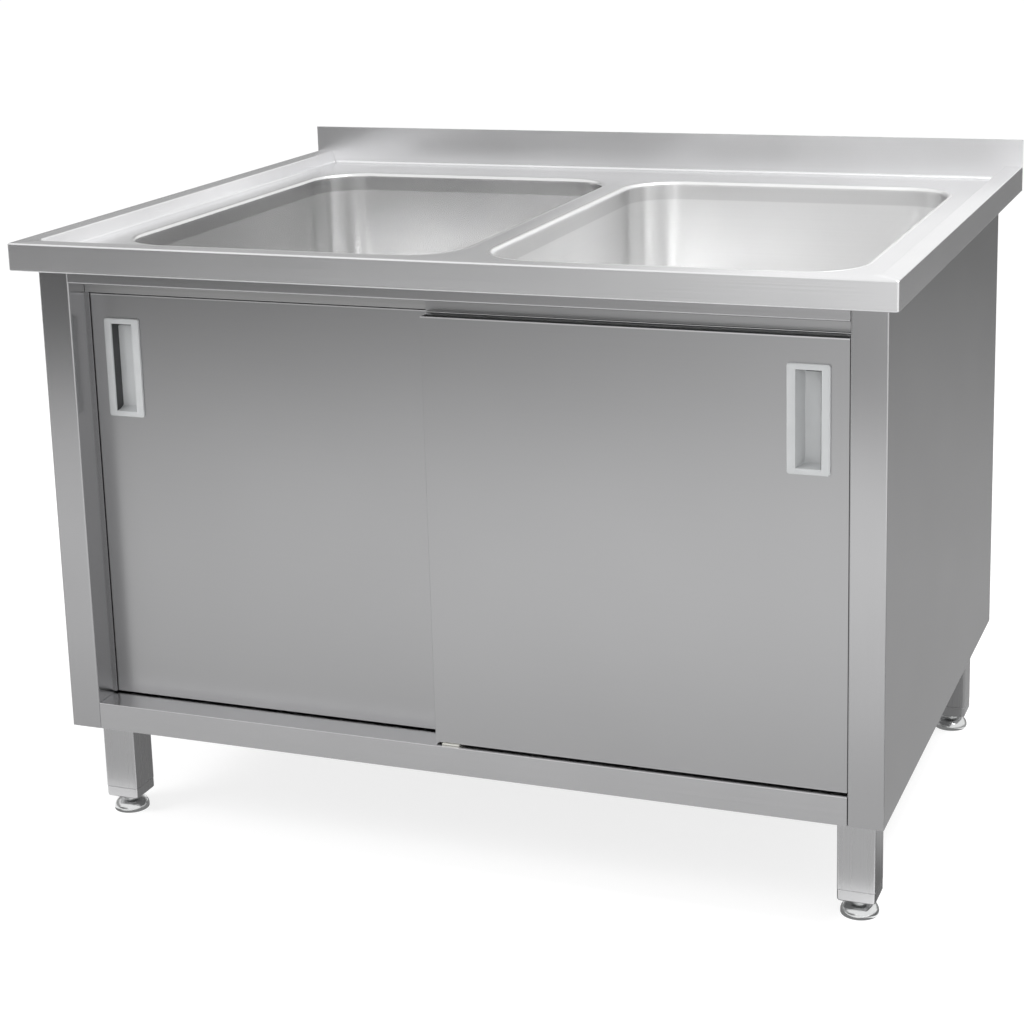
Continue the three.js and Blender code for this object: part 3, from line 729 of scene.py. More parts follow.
def bar_sheet(outline: np.ndarray, start: float, end: float) -> Sheet:
    """Bar with a closed section, carried along X.

    The rows at the ends are drawn in to the section's mean point, which closes the bar by a fan.

    Args:
        outline: (points, 2) section as (y, z).
        start: X of one end.
        end: X of the other end.

    Returns:
        A sheet that wraps round the section.
    """
    points = carried(outline, Axis.X, [start, start, start + 1.0, end - 1.0, end, end])
    points[[0, -1], :, 1:] = outline.mean(axis=0)
    return sheet_along(points, wraps=True)


def turned_sheet(
    profile: np.ndarray, centre: tuple[float, float, float], segments: int = 72
) -> Sheet:
    """Profile of (radius, height) turned about an upright axis.

    Each point is the centre plus (r cos a, r sin a, h).

    Args:
        profile: (points, 2), from the axis outwards or back.
        centre: foot of the axis.
        segments: pieces round the axis.

    Returns:
        A sheet that wraps round the axis.
    """
    angles = np.arange(segments) / segments * 2 * math.pi
    around = np.stack([np.cos(angles), np.sin(angles)], axis=-1)
    plan = profile[:, None, :1] * around[None] + np.array(centre[:2])
    level = np.broadcast_to(profile[:, None, 1:] + centre[2], plan.shape[:2] + (1,))
    return sheet_along(np.concatenate([plan, level], axis=-1), wraps=True)


# ---------------------------------------------------------------------------------------------
# Pieces
# ---------------------------------------------------------------------------------------------


@dataclass
class Workshop:
    """Turns arrays into pieces, gives them their finish and places them on the frame's bodies."""

    frame: Mapping[str, Any]
    made: dict[str, bpy.types.Material] = field(default_factory=dict)

    def finish(self, key: str) -> bpy.types.Material:
        """The material of a named finish, made once.

        Args:
            key: of the finish in FINISHES.

        Returns:
            Its material.
        """
        if key not in self.made:
            self.made[key] = FINISHES[key].material()
        return self.made[key]

    def body_of(self, node: str) -> str:
        """The CAD body that a node rides on."""
        return self.frame["nodes"][node]["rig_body"]

    def piece(
        self,
        name: str,
        sheets: Sequence[Sheet],
        finish: str,
        nodes: Sequence[str],
        slot: str,
        wall: float = 0.0,
        sharp: float = 40.0,
    ) -> bpy.types.Object:
        """Makes one piece from its sheets.

        Args:
            name: of the piece.
            sheets: grids that meet edge to edge.
            finish: key of its finish.
            nodes: CAD nodes that it stands for.
            slot: material slot of the record, not used.
            wall: thickness given to an open surface, behind its faces.
            sharp: angle in degrees past which an edge is sharp.

        Returns:
            The object, on the body of its first node.
        """
        counts = [sheet.points.shape[0] * sheet.points.shape[1] for sheet in sheets]
        firsts = np.concatenate([[0], np.cumsum(counts)[:-1]])
        points = np.concatenate([sheet.points.reshape(-1, 3) for sheet in sheets]) * MM
        grain = np.concatenate([sheet.grain.reshape(-1, 2) for sheet in sheets])
        faces = np.concatenate(
            [sheet.faces(int(first)) for sheet, first in zip(sheets, firsts)]
        )
        mesh = bpy.data.meshes.new(name)
        mesh.from_pydata(points.tolist(), [], faces.tolist())
        layer = mesh.uv_layers.new(name=UV_NAME)
        corners = np.zeros(len(mesh.loops), np.int32)
        mesh.loops.foreach_get("vertex_index", corners)
        layer.data.foreach_set("uv", grain[corners].astype(np.float32).ravel())
        self._close(mesh)
        return self._dress(mesh, name, finish, nodes, wall, sharp)

    @staticmethod
    def _close(mesh: bpy.types.Mesh) -> None:
        """Merges doubles, drops empty faces and turns a closed surface outwards.

        Args:
            mesh: the mesh to mend, where an open surface keeps the way its faces point.
        """
        work = bmesh.new()
        work.from_mesh(mesh)
        bmesh.ops.remove_doubles(work, verts=work.verts, dist=0.000002)
        bmesh.ops.dissolve_degenerate(work, edges=work.edges, dist=0.000001)
        if all(len(edge.link_faces) == 2 for edge in work.edges):
            bmesh.ops.recalc_face_normals(work, faces=work.faces)
        work.to_mesh(mesh)
        work.free()

    def _dress(
        self,
        mesh: bpy.types.Mesh,
        name: str,
        finish: str,
        nodes: Sequence[str],
        wall: float,
        sharp: float,
    ) -> bpy.types.Object:
        """Gives a mesh its object, modifiers, finish and body.

        Args:
            mesh: the piece's mesh, in metres.
            name: of the piece.
            finish: key of the finish.
            nodes: the CAD nodes that the piece replaces, the first of which names its body.
            wall: thickness behind the faces of an open surface, or 0 for none.
            sharp: angle in degrees above which an edge stays sharp.

        Returns:
            The piece.
        """
        mesh.polygons.foreach_set("use_smooth", np.ones(len(mesh.polygons), bool))
        mesh.set_sharp_from_angle(angle=math.radians(sharp))
        mesh.materials.append(self.finish(finish))
        piece = bpy.data.objects.new(name, mesh)
        bpy.context.scene.collection.objects.link(piece)
        if wall:
            thicken = piece.modifiers.new("wall", "SOLIDIFY")
            thicken.thickness = wall * MM
            thicken.offset = -1.0
            thicken.use_even_offset = True
        weighted = piece.modifiers.new("flat faces stay flat", "WEIGHTED_NORMAL")
        weighted.keep_sharp = True
        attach(piece, self.body_of(nodes[0]))
        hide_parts(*nodes)
        LOG.info("%s: %d faces, finish %s", name, len(mesh.polygons), finish)
        return piece

    def eased_copy(
        self, name: str, node: str, finish: str, slot: str, edge: float, steps: int = 3
    ) -> bpy.types.Object:
        """Copies a CAD node's mesh, merges it and eases its edges.

        Args:
            name: of the piece.
            node: the CAD node.
            finish: key of its finish.
            slot: material slot of the record, not used.
            edge: width of the eased edge.
            steps: facets across it.

        Returns:
            The object, which stands for the node.
        """
        mesh = self.frame["nodes"][node].data.copy()
        mesh.name = name
        mesh.materials.clear()
        work = bmesh.new()
        work.from_mesh(mesh)
        bmesh.ops.remove_doubles(work, verts=work.verts, dist=0.00001)
        bmesh.ops.dissolve_limit(
            work, angle_limit=math.radians(0.5), verts=work.verts, edges=work.edges
        )
        work.to_mesh(mesh)
        work.free()
        piece = self._dress(mesh, name, finish, [node], 0.0, 30.0)
        ease = piece.modifiers.new("eased edges", "BEVEL")
        ease.width = edge * MM
        ease.segments = steps
        ease.limit_method = "ANGLE"
        ease.angle_limit = math.radians(30)
        ease.use_clamp_overlap = True
        piece.modifiers.move(len(piece.modifiers) - 1, 0)
        return piece

    def refinish(self, node: str, finish: str, edge: float = 0.0) -> None:
        """Gives a CAD node that stays its finish, and eases its edges if a width is given.

        Args:
            node: name of the CAD node.
            finish: key of the finish.
            edge: width of the eased edge, or 0 to leave the edges sharp.
        """
        shown = self.frame["nodes"][node]
        shown.data.materials.clear()
        shown.data.materials.append(self.finish(finish))
        if edge:
            joined = shown.modifiers.new("joined", "WELD")
            joined.merge_threshold = 0.00001
            ease = shown.modifiers.new("eased edges", "BEVEL")
            ease.width = edge * MM
            ease.segments = 2
            ease.limit_method = "ANGLE"
            ease.angle_limit = math.radians(35)
        LOG.info("%s: CAD node, finish %s", node, finish)


# ---------------------------------------------------------------------------------------------
# Worktop, upstand and bowls
# ---------------------------------------------------------------------------------------------


@dataclass
class Worktop:
    """Rimmed worktop pressed from one sheet, with two drawn bowls welded in and ground flush."""

    shop: Workshop
    half_width: float = 600.0
    front: float = -475.0
    rear: float = 473.2
    top: float = 850.0
    deck: float = 830.0
    skirt: float = 812.0
    hem: float = 12.0
    rim: float = 28.0
    step: float = 5.0
    sheet: float = 1.2
    rim_corner: float = 16.0
    outer_corner: float = 2.5
    edge: float = 2.4
    bowl_x: float = 270.0
    bowl_y: float = 9.5
    bowl_half_x: float = 253.0
    bowl_half_y: float = 352.5
    bowl_corner: float = 80.0
    lip: float = 5.0
    lip_flat: float = 2.0
    bowl_foot: float = 570.0
    sump: float = 566.0
    floor_radius: float = 40.0
    waste_flat: float = 49.0
    waste_hole: float = 31.0
    upstand_face: float = 473.5
    cove: float = 4.0
    cove_lap: float = 0.2
    cove_sink: float = 0.6
    cove_end: float = 0.5
    arc_steps: int = 14
    side_steps: int = 12

    def rim_profile(self) -> np.ndarray:
        """The rim's section, from the deck up over the rim, down the skirt and into its hem.

        Returns:
            (points, 2) as (inset from the worktop's edge, height).
        """
        line = [
            (self.rim + self.step + 4.0, self.deck),
            (self.rim + self.step, self.deck),
            (self.rim, self.top),
            (0.0, self.top),
            (0.0, self.skirt),
            (self.hem, self.skirt),
        ]
        return fillet(line, [2.5, 2.5, self.edge, 1.8])

    def rim_sheet(self) -> Sheet:
        """Carries the rim's profile along the left, front and right sides.

        The plan corner's radius grows evenly from the worktop's edge to the rim's inner edge and
        then shrinks with the inset, so that the step keeps its slope round the corner.

        Returns:
            A sheet (profile, path).
        """
        profile = self.rim_profile()
        inset, height = profile[:, 0], profile[:, 1]
        grow = self.outer_corner + (self.rim_corner - self.outer_corner) * inset / self.rim
        radius = np.where(inset <= self.rim, grow, self.rim_corner + self.rim - inset)
        level = height < self.skirt + 0.01
        radius = np.where(level, self.outer_corner, radius)
        quarter = np.linspace(0, math.pi / 2, self.arc_steps + 1)
        share = np.arange(self.side_steps + 1) / self.side_steps
        x_far = (self.half_width - inset)[:, None]
        y_far = (self.front + inset)[:, None]
        r = radius[:, None]
        side_y = self.rear + (y_far + r - self.rear) * share[None, :]
        arc_x = x_far - r + r * np.cos(quarter)
        arc_y = y_far + r - r * np.sin(quarter)
        front_x = (x_far - r) * (1 - share[None, 1:])
        x = np.concatenate([np.broadcast_to(x_far, side_y.shape), arc_x[:, 1:], front_x], axis=1)
        y = np.concatenate(
            [side_y, arc_y[:, 1:], np.broadcast_to(y_far, front_x.shape)], axis=1
        )
        x = np.concatenate([x, -x[:, -2::-1]], axis=1)
        y = np.concatenate([y, y[:, -2::-1]], axis=1)
        z = np.broadcast_to(height[:, None], x.shape)
        return sheet_along(np.stack([x, y, z], axis=-1))

    def deck_sheet(self, side: float) -> Sheet:
        """Flat deck round one bowl, from its cell's outline in to the bowl's lip.

        Args:
            side: -1 for the left bowl or 1 for the right one.

        Returns:
            A level sheet; its belt marks run along X.
        """
        outer = self.half_width - self.rim - self.step - 4.0
        near = self.front + self.rim + self.step + 4.0
        corner = self.rim_corner - self.step - 4.0
        centre = np.array([[outer / 2, (near + self.rear) / 2], [self.bowl_x, self.bowl_y]])
        half = np.array(
            [
                [outer / 2, (self.rear - near) / 2],
                [self.bowl_half_x + self.lip_flat, self.bowl_half_y + self.lip_flat],
            ]
        )
        radii = np.array([[0.0, 0.0, 0.0, corner], [self.bowl_corner + self.lip_flat] * 4])
        loops = plan_loop(centre, half, radii, self.arc_steps, self.side_steps)
        points = stack_loops(loops, np.full(2, self.deck))
        points[..., 0] *= side
        return Sheet(points, points[..., :2] * MM, wraps=True, flipped=side < 0)

    def bowl_sheet(self, side: float) -> Sheet:
        """One drawn bowl: lip, wall, floor curve and a floor that falls to the waste.

        Down to the floor each row is the opening's rounded rectangle moved in by an inset. On the
        floor a row is a mix of the foot's outline and the waste's circle.

        Args:
            side: -1 for the left bowl or 1 for the right one.

        Returns:
            A sheet (down the bowl, round it).
        """
        roll = np.linspace(0, math.pi / 2, 9)
        curve = np.linspace(0, math.pi / 2, 13)
        r = self.floor_radius
        wall = np.linspace(self.deck - self.lip, self.bowl_foot + r, 8)[1:-1]
        inset = np.concatenate(
            [
                [-self.lip_flat],
                self.lip * np.sin(roll),
                np.full(len(wall), self.lip),
                self.lip + r * (1 - np.cos(curve)),
            ]
        )
        height = np.concatenate(
            [
                [self.deck],
                self.deck - self.lip * (1 - np.cos(roll)),
                wall,
                self.bowl_foot + r - r * np.sin(curve),
            ]
        )
        rows = len(inset)
        half = np.stack([self.bowl_half_x - inset, self.bowl_half_y - inset], axis=1)
        radii = np.repeat((self.bowl_corner - inset)[:, None], 4, axis=1)
        centre = np.zeros((rows, 2))
        loops = plan_loop(centre, half, radii, self.arc_steps, self.side_steps)
        foot = loops[-1]
        around = np.arctan2(foot[:, 1], foot[:, 0])
        circle = np.stack([np.cos(around), np.sin(around)], axis=-1)
        mix = np.linspace(0, 1, 9)[1:, None, None]
        fall = mix * mix * (3 - 2 * mix)
        floor = foot[None] * (1 - mix) + circle[None] * self.waste_flat * mix
        inner = circle[None] * self.waste_hole
        loops = np.concatenate([loops, floor, inner])
        drop = self.bowl_foot - (self.bowl_foot - self.sump) * fall[:, 0, 0]
        heights = np.concatenate([height, drop, [self.sump]])
        points = stack_loops(loops, heights)
        points[..., 0] = side * (points[..., 0] + self.bowl_x)
        points[..., 1] += self.bowl_y
        return sheet_along(points, wraps=True, flipped=side < 0)

    def cove_sheet(self) -> Sheet:
        """Cove between the deck and the upstand, in the worktop's finish.

        Its face is a hollow quarter circle: the centre plus the radius times (sin a, -cos a).

        Returns:
            A closed bar along the upstand's foot.
        """
        wall = self.upstand_face
        angles = np.linspace(0, math.pi / 2, 9)
        centre = np.array([wall - self.cove, self.deck + self.cove])
        arc = centre + self.cove * np.stack([np.sin(angles), -np.cos(angles)], axis=-1)
        back, under = wall + self.cove_lap, self.deck - self.cove_sink
        heel = np.array([[back, self.deck + self.cove], [back, under], [wall - self.cove, under]])
        reach = self.half_width - self.rim - self.step - self.cove_end
        return bar_sheet(np.concatenate([arc, heel]), -reach, reach)

    def flange_sheet(self, side: float) -> Sheet:
        """Turned waste flange with its dished seat and throat.

        Args:
            side: -1 for the left bowl or 1 for the right one.

        Returns:
            Its section, (radius, height above the sump), turned round the waste's axis.
        """
        line = [
            (31.2, -0.05), (42.5, 0.35), (42.0, 1.6), (39.0, 2.2), (31.5, 2.2), (29.0, -8.0),
            (22.0, -10.4), (22.0, -50.0), (25.0, -50.0), (25.0, -27.0), (30.4, -24.0),
            (30.4, 0.3), (31.2, -0.05),
        ]
        radii = [0.2, 0.8, 1.0, 1.5, 2.0, 2.0, 0.3, 0.3, 0.5, 0.5, 0.1]
        profile = fillet(line, radii, 4)
        return turned_sheet(profile, (side * self.bowl_x, self.bowl_y, self.sump), 96)

    def build(self) -> None:
        """Makes the worktop, its upstand, the bowls and the wastes."""
        self.shop.piece(
            "worktop_pressing",
            [self.rim_sheet(), self.deck_sheet(-1.0), self.deck_sheet(1.0)],
            "worktop",
            ["worktop"],
            "worktop_steel",
            self.sheet,
        )
        self.shop.eased_copy(
            "splashback_upstand", "splashback", "upstand", "worktop_steel", 0.45
        )
        self.shop.piece(
            "upstand_cove", [self.cove_sheet()], "worktop", ["splashback"], "worktop_steel"
        )
        for name, side in SIDES.items():
            self.shop.piece(
                f"bowl_{name}_drawn",
                [self.bowl_sheet(side)],
                f"bowl_{name}",
                [f"bowl_{name}"],
                "worktop_steel",
                self.sheet,
            )
            self.shop.piece(
                f"waste_flange_{name}_turned",
                [self.flange_sheet(side)],
                "polished",
                [f"waste_flange_{name}"],
                "polished_steel",
            )
            self.shop.eased_copy(
                f"strainer_{name}_pressed", f"strainer_{name}", "polished", "polished_steel", 0.3
            )
            self.shop.refinish(f"lock_nut_{name}", "hidden", 0.6)
            self.shop.refinish(f"waste_tail_{name}", "nylon", 0.5)


# ---------------------------------------------------------------------------------------------
# Carcase
# ---------------------------------------------------------------------------------------------


@dataclass
class Carcase:
    """Cupboard folded from sheet: side panels with stiles, shelf, rails, back and stiffeners."""

    shop: Workshop
    outer_x: float = 581.0
    stile: float = 46.0
    front: float = -435.0
    stile_return: float = 43.0
    rear: float = 371.0
    rear_flange: float = 30.0
    foot: float = 149.4
    top: float = 828.5
    sheet: float = 1.2
    bend: float = 1.2
    top_flange: float = 41.0
    foot_flange: float = 15.0
    flange_rear: float = 363.0
    stop_width: float = 3.8
    stop_span: tuple[float, float] = (190.0, 785.0)
    rail_bottom: float = 790.0
    rail_hem: float = 8.0
    rail_flange: float = 35.0
    rail_half: float = 534.7

    def side_panel(self, side: float) -> list[Sheet]:
        """One side panel with its stile, return, door stop, rear flange and level flanges.

        Args:
            side: -1 for the left panel or 1 for the right one.

        Returns:
            Its sheets.
        """
        stile_x = self.outer_x - self.stile
        section = [
            (stile_x, self.front + self.stile_return),
            (stile_x, self.front),
            (self.outer_x, self.front),
            (self.outer_x, self.rear),
            (self.outer_x - self.rear_flange, self.rear),
        ]
        sheets = folded_sheets(section, self.sheet, self.bend, Axis.Z, self.foot, self.top)
        inside = self.outer_x - self.sheet
        start = self.front + self.stile_return
        for xs, ys, zs in (
            ((self.outer_x - self.top_flange, inside), (start, self.flange_rear),
             (self.top - self.sheet, self.top)),
            ((self.outer_x - self.foot_flange, inside), (start, self.flange_rear),
             (self.foot, self.foot + self.sheet)),
            ((stile_x - self.stop_width, stile_x + self.sheet), (start, start + self.sheet),
             self.stop_span),
        ):
            outline = np.array([(xs[0], ys[0]), (xs[1], ys[0]), (xs[1], ys[1]), (xs[0], ys[1])])
            sheets.append(sheet_along(carried(outline, Axis.Z, zs), wraps=True))
            for level, flipped in ((zs[0], True), (zs[1], False)):
                cap = carried(outline, Axis.Z, [level])[0][[0, 1, 3, 2]].reshape(2, 2, 3)
                sheets.append(sheet_along(cap, flipped=flipped))
        for sheet in sheets:
            sheet.points = sheet.points * np.array([side, 1.0, 1.0])
        return sheets

    def top_rail(self) -> list[Sheet]:
        """Rail over the doors: a hem below, the face and a flange under the deck.

        Returns:
            The folded section, carried along X between the stiles.
        """
        section = [
            (self.front + self.rail_flange, self.top),
            (self.front, self.top),
            (self.front, self.rail_bottom),
            (self.front + self.rail_hem, self.rail_bottom),
        ]
        return folded_sheets(
            section, self.sheet, self.bend, Axis.X, -self.rail_half, self.rail_half
        )

    def build(self) -> None:
        """Makes the cupboard's sheet pieces."""
        for name, side in SIDES.items():
            self.shop.piece(
                f"side_panel_{name}_folded",
                self.side_panel(side),
                "panel",
                [f"side_panel_{name}"],
                "panel_steel",
            )
        self.shop.piece(
            "top_rail_folded", self.top_rail(), "rail", ["top_rail"], "panel_steel"
        )
        self.shop.eased_copy(
            "bottom_shelf_folded", "bottom_shelf", "rail", "panel_steel", 1.1, 4
        )
        self.shop.refinish("back_panel", "panel", 0.4)
        self.shop.refinish("shelf_stiffener", "hidden", 0.4)
        self.shop.refinish("ledge_stiffener", "hidden", 0.4)
        self.shop.refinish("door_track", "hidden", 0.4)
        self.shop.refinish("bottom_guide", "nylon", 0.4)


# ---------------------------------------------------------------------------------------------
# Doors
# ---------------------------------------------------------------------------------------------


@dataclass
class Doors:
    """Two hung doors of folded sheet with recessed pulls."""

    shop: Workshop
    handle_x: float = 483.5
    handle_z: float = 666.5
    handle_width: float = 52.0
    handle_height: float = 136.0
    open_width: float = 33.6
    open_height: float = 124.6
    proud: float = 2.3
    seat: float = 0.3
    pull_wall: float = 1.2
    # A dark sheet inside the pull as painted shadow: the pull's rows and columns it covers, its gap
    # inside the pull's wall and its thickness.
    painted_shadow_rows: tuple[int, int] = (7, 12)
    painted_shadow_columns: int = 13
    painted_shadow_gap: float = 0.25
    painted_shadow_wall: float = 0.2
    pocket: float = 14.0
    corner: float = 2.5
    hem_radius: float = 1.3
    hem_depth: float = 17.9
    hem_top: float = 772.0
    ends: Mapping[str, tuple[float, float]] = field(
        default_factory=lambda: {"left": (-530.0, 19.0), "right": (-19.0, 530.0)}
    )
    faces: Mapping[str, float] = field(
        default_factory=lambda: {"left": -389.0, "right": -427.0}
    )

    def hem_sheets(self, name: str) -> list[Sheet]:
        """Rolled hem along the top of a door's rear edge.

        Its section is a circle: the middle plus the radius times (cos a, sin a), carried along X.

        Args:
            name: "left" or "right".

        Returns:
            A closed bar.
        """
        angles = np.arange(20) / 20 * 2 * math.pi
        middle = np.array([self.faces[name] + self.hem_depth, self.hem_top - self.hem_radius])
        circle = middle + self.hem_radius * np.stack([np.cos(angles), np.sin(angles)], axis=-1)
        return [bar_sheet(circle, *self.ends[name])]

    def pull_sheets(self, side: float, face: float) -> list[Sheet]:
        """Recessed pull, its faces turned to the door so that its wall comes out in front."""
        return [sheet_along(self.pull_points(side, face), wraps=True, flipped=True)]

    def painted_shadow_sheets(self, side: float, face: float) -> list[Sheet]:
        """Dark strip of painted shadow round the pocket's head and outer wall, where the pocket lies
        in shade.

        Args:
            side: -1 for the left door or 1 for the right one.
            face: Y of the door's face.

        Returns:
            A strip of the pull's own rows and columns, a little inside it.
        """
        points = self.pull_points(side, face)
        # Columns run anticlockwise from the (+X, +Z) corner. The left pull's head starts at the
        # fifth, and the right pull's outer side at the 29th and goes on over the head.
        start = 28 if side > 0 else 4
        columns = np.arange(start, start + self.painted_shadow_columns) % points.shape[1]
        strip = points[slice(*self.painted_shadow_rows), columns].copy()
        strip[..., 0] -= side * (self.pull_wall + self.painted_shadow_gap)
        strip[..., 2] -= self.pull_wall + self.painted_shadow_gap
        return [sheet_along(strip, flipped=True)]

    def pull_points(self, side: float, face: float) -> np.ndarray:
        """Rows of the pull: a rounded frame, then a pocket with a ramp and a grip.

        Each row is a rounded rectangle on the door's face at some depth: outwards over the frame,
        in through the opening and down to the pocket's floor, whose side towards the door's
        middle slopes as a ramp.

        Args:
            side: -1 for the left door or 1 for the right one.
            face: Y of the door's face.

        Returns:
            A grid (rows, points, 3), closed in the middle of the pocket's floor.
        """
        w, h = self.handle_width / 2, self.handle_height / 2
        ow, oh = self.open_width / 2, self.open_height / 2
        back = self.pocket
        rows = [
            (w - 0.2, h - 0.2, 0.0, -self.seat, self.corner),
            (w, h, 0.0, -self.seat - 0.4, self.corner),
            (w, h, 0.0, -self.proud + 0.9, self.corner),
            (w - 0.3, h - 0.3, 0.0, -self.proud + 0.25, self.corner),
            (w - 0.9, h - 0.9, 0.0, -self.proud, self.corner),
            (ow + 0.7, oh + 0.7, 0.0, -self.proud, 1.8),
            (ow + 0.2, oh + 0.2, 0.0, -self.proud + 0.2, 1.5),
            (ow, oh, 0.0, -self.proud + 0.8, 1.3),
            (ow, oh, 0.0, 0.6, 1.3),
            (ow - 2.2, oh - 1.0, 1.4, back * 0.45, 2.0),
            (ow - 4.0, oh - 3.2, 3.0, back * 0.85, 2.5),
            (ow - 5.0, oh - 5.0, 3.4, back - 0.1, 3.0),
            (ow - 7.5, oh - 8.0, 3.6, back, 3.0),
        ]
        table = np.array(rows)
        centre = np.stack([side * table[:, 2], np.zeros(len(rows))], axis=1)
        radii = np.repeat(table[:, 4:5], 4, axis=1)
        loops = plan_loop(centre, table[:, :2], radii, 4, 4)
        middle = loops[-1].mean(axis=0)
        loops = np.concatenate([loops, np.broadcast_to(middle, (1,) + loops[-1].shape)])
        depth = np.concatenate([table[:, 3], table[-1:, 3]])
        x = side * self.handle_x + loops[..., 0]
        z = self.handle_z + loops[..., 1]
        y = np.broadcast_to((face + depth)[:, None], x.shape)
        return np.stack([x, y, z], axis=-1)

    def build(self) -> None:
        """Makes both doors with their pulls, hangers and rollers."""
        for name, side in SIDES.items():
            for skin, edge in (("front_skin", 2.0), ("back_skin", 0.45)):
                self.shop.eased_copy(
                    f"door_{name}_{skin}_folded",
                    f"door_{name}_{skin}",
                    "door",
                    "door_steel",
                    edge,
                )
            self.shop.piece(
                f"door_{name}_pull",
                self.pull_sheets(side, self.faces[name]),
                "handle",
                [f"door_{name}_handle"],
                "handle_plastic",
                wall=self.pull_wall,
            )
            # Painted shadow: a dark sheet just inside the pull's head and outer wall.
            self.shop.piece(
                f"door_{name}_pull_painted_shadow",
                self.painted_shadow_sheets(side, self.faces[name]),
                "painted_shadow",
                [f"door_{name}_handle"],
                "handle_plastic",
                wall=self.painted_shadow_wall,
            )
            self.shop.piece(
                f"door_{name}_rear_hem",
                self.hem_sheets(name),
                "polished",
                [f"door_{name}_back_skin"],
                "door_steel",
            )
            for number in (1, 2):
                self.shop.refinish(f"door_{name}_hanger_{number}", "hidden", 0.4)
                self.shop.refinish(f"door_{name}_roller_{number}", "nylon", 0.4)


# ---------------------------------------------------------------------------------------------
# Legs and feet
# ---------------------------------------------------------------------------------------------


@dataclass
class Legs:
    """Four square-tube legs with end collars and domed levelling feet."""

    shop: Workshop
    x: float = 537.0
    rows: Mapping[str, float] = field(
        default_factory=lambda: {"front": -365.0, "rear": 288.0}
    )
    half: float = 25.0
    corner: float = 3.0
    tube: float = 1.5
    leg_foot: float = 40.3
    leg_top: float = 181.7
    collar_foot: float = 24.0
    collar_top: float = 40.0
    stem_gap: float = 0.5
    stem: float = 6.0
    stem_top: float = 84.0
    foot_radius: float = 25.0
    foot_edge: float = 4.0
    dome_top: float = 16.0
    hub: float = 11.0
    hub_top: float = 21.0

    def ring(self, x: float, y: float, half: Sequence[float], z: Sequence[float],
             corner: Sequence[float]) -> Sheet:
        """Stack of rounded squares round a leg's axis, each with its own size and height.

        Args:
            x: of the leg's axis.
            y: of the leg's axis.
            half: half the width of each square.
            z: height of each square.
            corner: corner radius of each square.

        Returns:
            The squares joined in turn.
        """
        halves = np.array(half, float)
        centre = np.broadcast_to([x, y], (len(halves), 2))
        radii = np.repeat(np.array(corner, float)[:, None], 4, axis=1)
        loops = plan_loop(centre, np.stack([halves, halves], axis=1), radii, 6, 3)
        return sheet_along(stack_loops(loops, np.array(z, float)), wraps=True)

    def tube_sheets(self, x: float, y: float) -> list[Sheet]:
        """Square tube with its wall: outside, top edge, inside and foot, in one closed ring.

        Args:
            x: of the leg's axis.
            y: of the leg's axis.

        Returns:
            One closed sheet.
        """
        inner = self.half - self.tube
        half = [self.half, self.half, self.half, inner, inner, self.half]
        z = [self.leg_foot, (self.leg_foot + self.leg_top) / 2, self.leg_top, self.leg_top,
             self.leg_foot, self.leg_foot]
        corner = [self.corner] * 3 + [self.corner - self.tube] * 2 + [self.corner]
        return [self.ring(x, y, half, z, corner)]

    def collar_sheets(self, x: float, y: float) -> list[Sheet]:
        """Cast end collar: a band with a well rounded foot, bored through for the foot's stem.

        Args:
            x: of the leg's axis.
            y: of the leg's axis.

        Returns:
            One closed sheet.
        """
        bore = self.stem + self.stem_gap
        profile = fillet(
            [(bore, self.collar_foot), (self.half, self.collar_foot),
             (self.half, self.collar_top), (bore, self.collar_top)],
            [3.2, 0.5],
            6,
        )
        profile = np.concatenate([profile, profile[:1]])
        inset = self.half - profile[:, 0]
        corner = np.maximum(self.corner + 1.0 - inset * 0.1, 1.0)
        return [self.ring(x, y, profile[:, 0], profile[:, 1], corner)]

    def foot_profile(self) -> np.ndarray:
        """The foot's section, from its underside over the dome and up the stem.

        The dome is a quarter ellipse from the foot's edge up to its hub.

        Returns:
            (points, 2) as (radius, height).
        """
        angles = np.linspace(0, math.pi / 2, 13)
        dome = np.stack(
            [
                self.hub + (self.foot_radius - self.hub) * np.cos(angles),
                self.foot_edge + (self.dome_top - self.foot_edge) * np.sin(angles),
            ],
            axis=1,
        )
        under = fillet(
            [(0.0, 0.0), (self.foot_radius, 0.0), (self.foot_radius, self.foot_edge)], [1.4], 5
        )
        neck = fillet(
            [(self.hub, self.dome_top), (self.hub, self.hub_top), (self.stem, self.hub_top),
             (self.stem, self.stem_top), (0.0, self.stem_top)],
            [1.0, 0.1, 0.8],
            5,
        )
        return np.concatenate([under, dome[1:], neck[1:]])

    def build(self) -> None:
        """Makes the four legs."""
        for row, y in self.rows.items():
            for name, side in SIDES.items():
                x = side * self.x
                tag = f"{row}_{name}"
                self.shop.piece(
                    f"leg_{tag}_tube", self.tube_sheets(x, y), "leg", [f"leg_{tag}"],
                    "panel_steel",
                )
                self.shop.piece(
                    f"leg_collar_{tag}_cast", self.collar_sheets(x, y), "collar",
                    [f"leg_collar_{tag}"], "polished_steel",
                )
                self.shop.piece(
                    f"foot_{tag}_turned",
                    [turned_sheet(self.foot_profile(), (x, y, 0.0))],
                    "polished",
                    [f"foot_{tag}"],
                    "polished_steel",
                )
                self.shop.refinish(f"leg_plate_{tag}", "hidden", 0.4)


# ---------------------------------------------------------------------------------------------
# Studio
# ---------------------------------------------------------------------------------------------


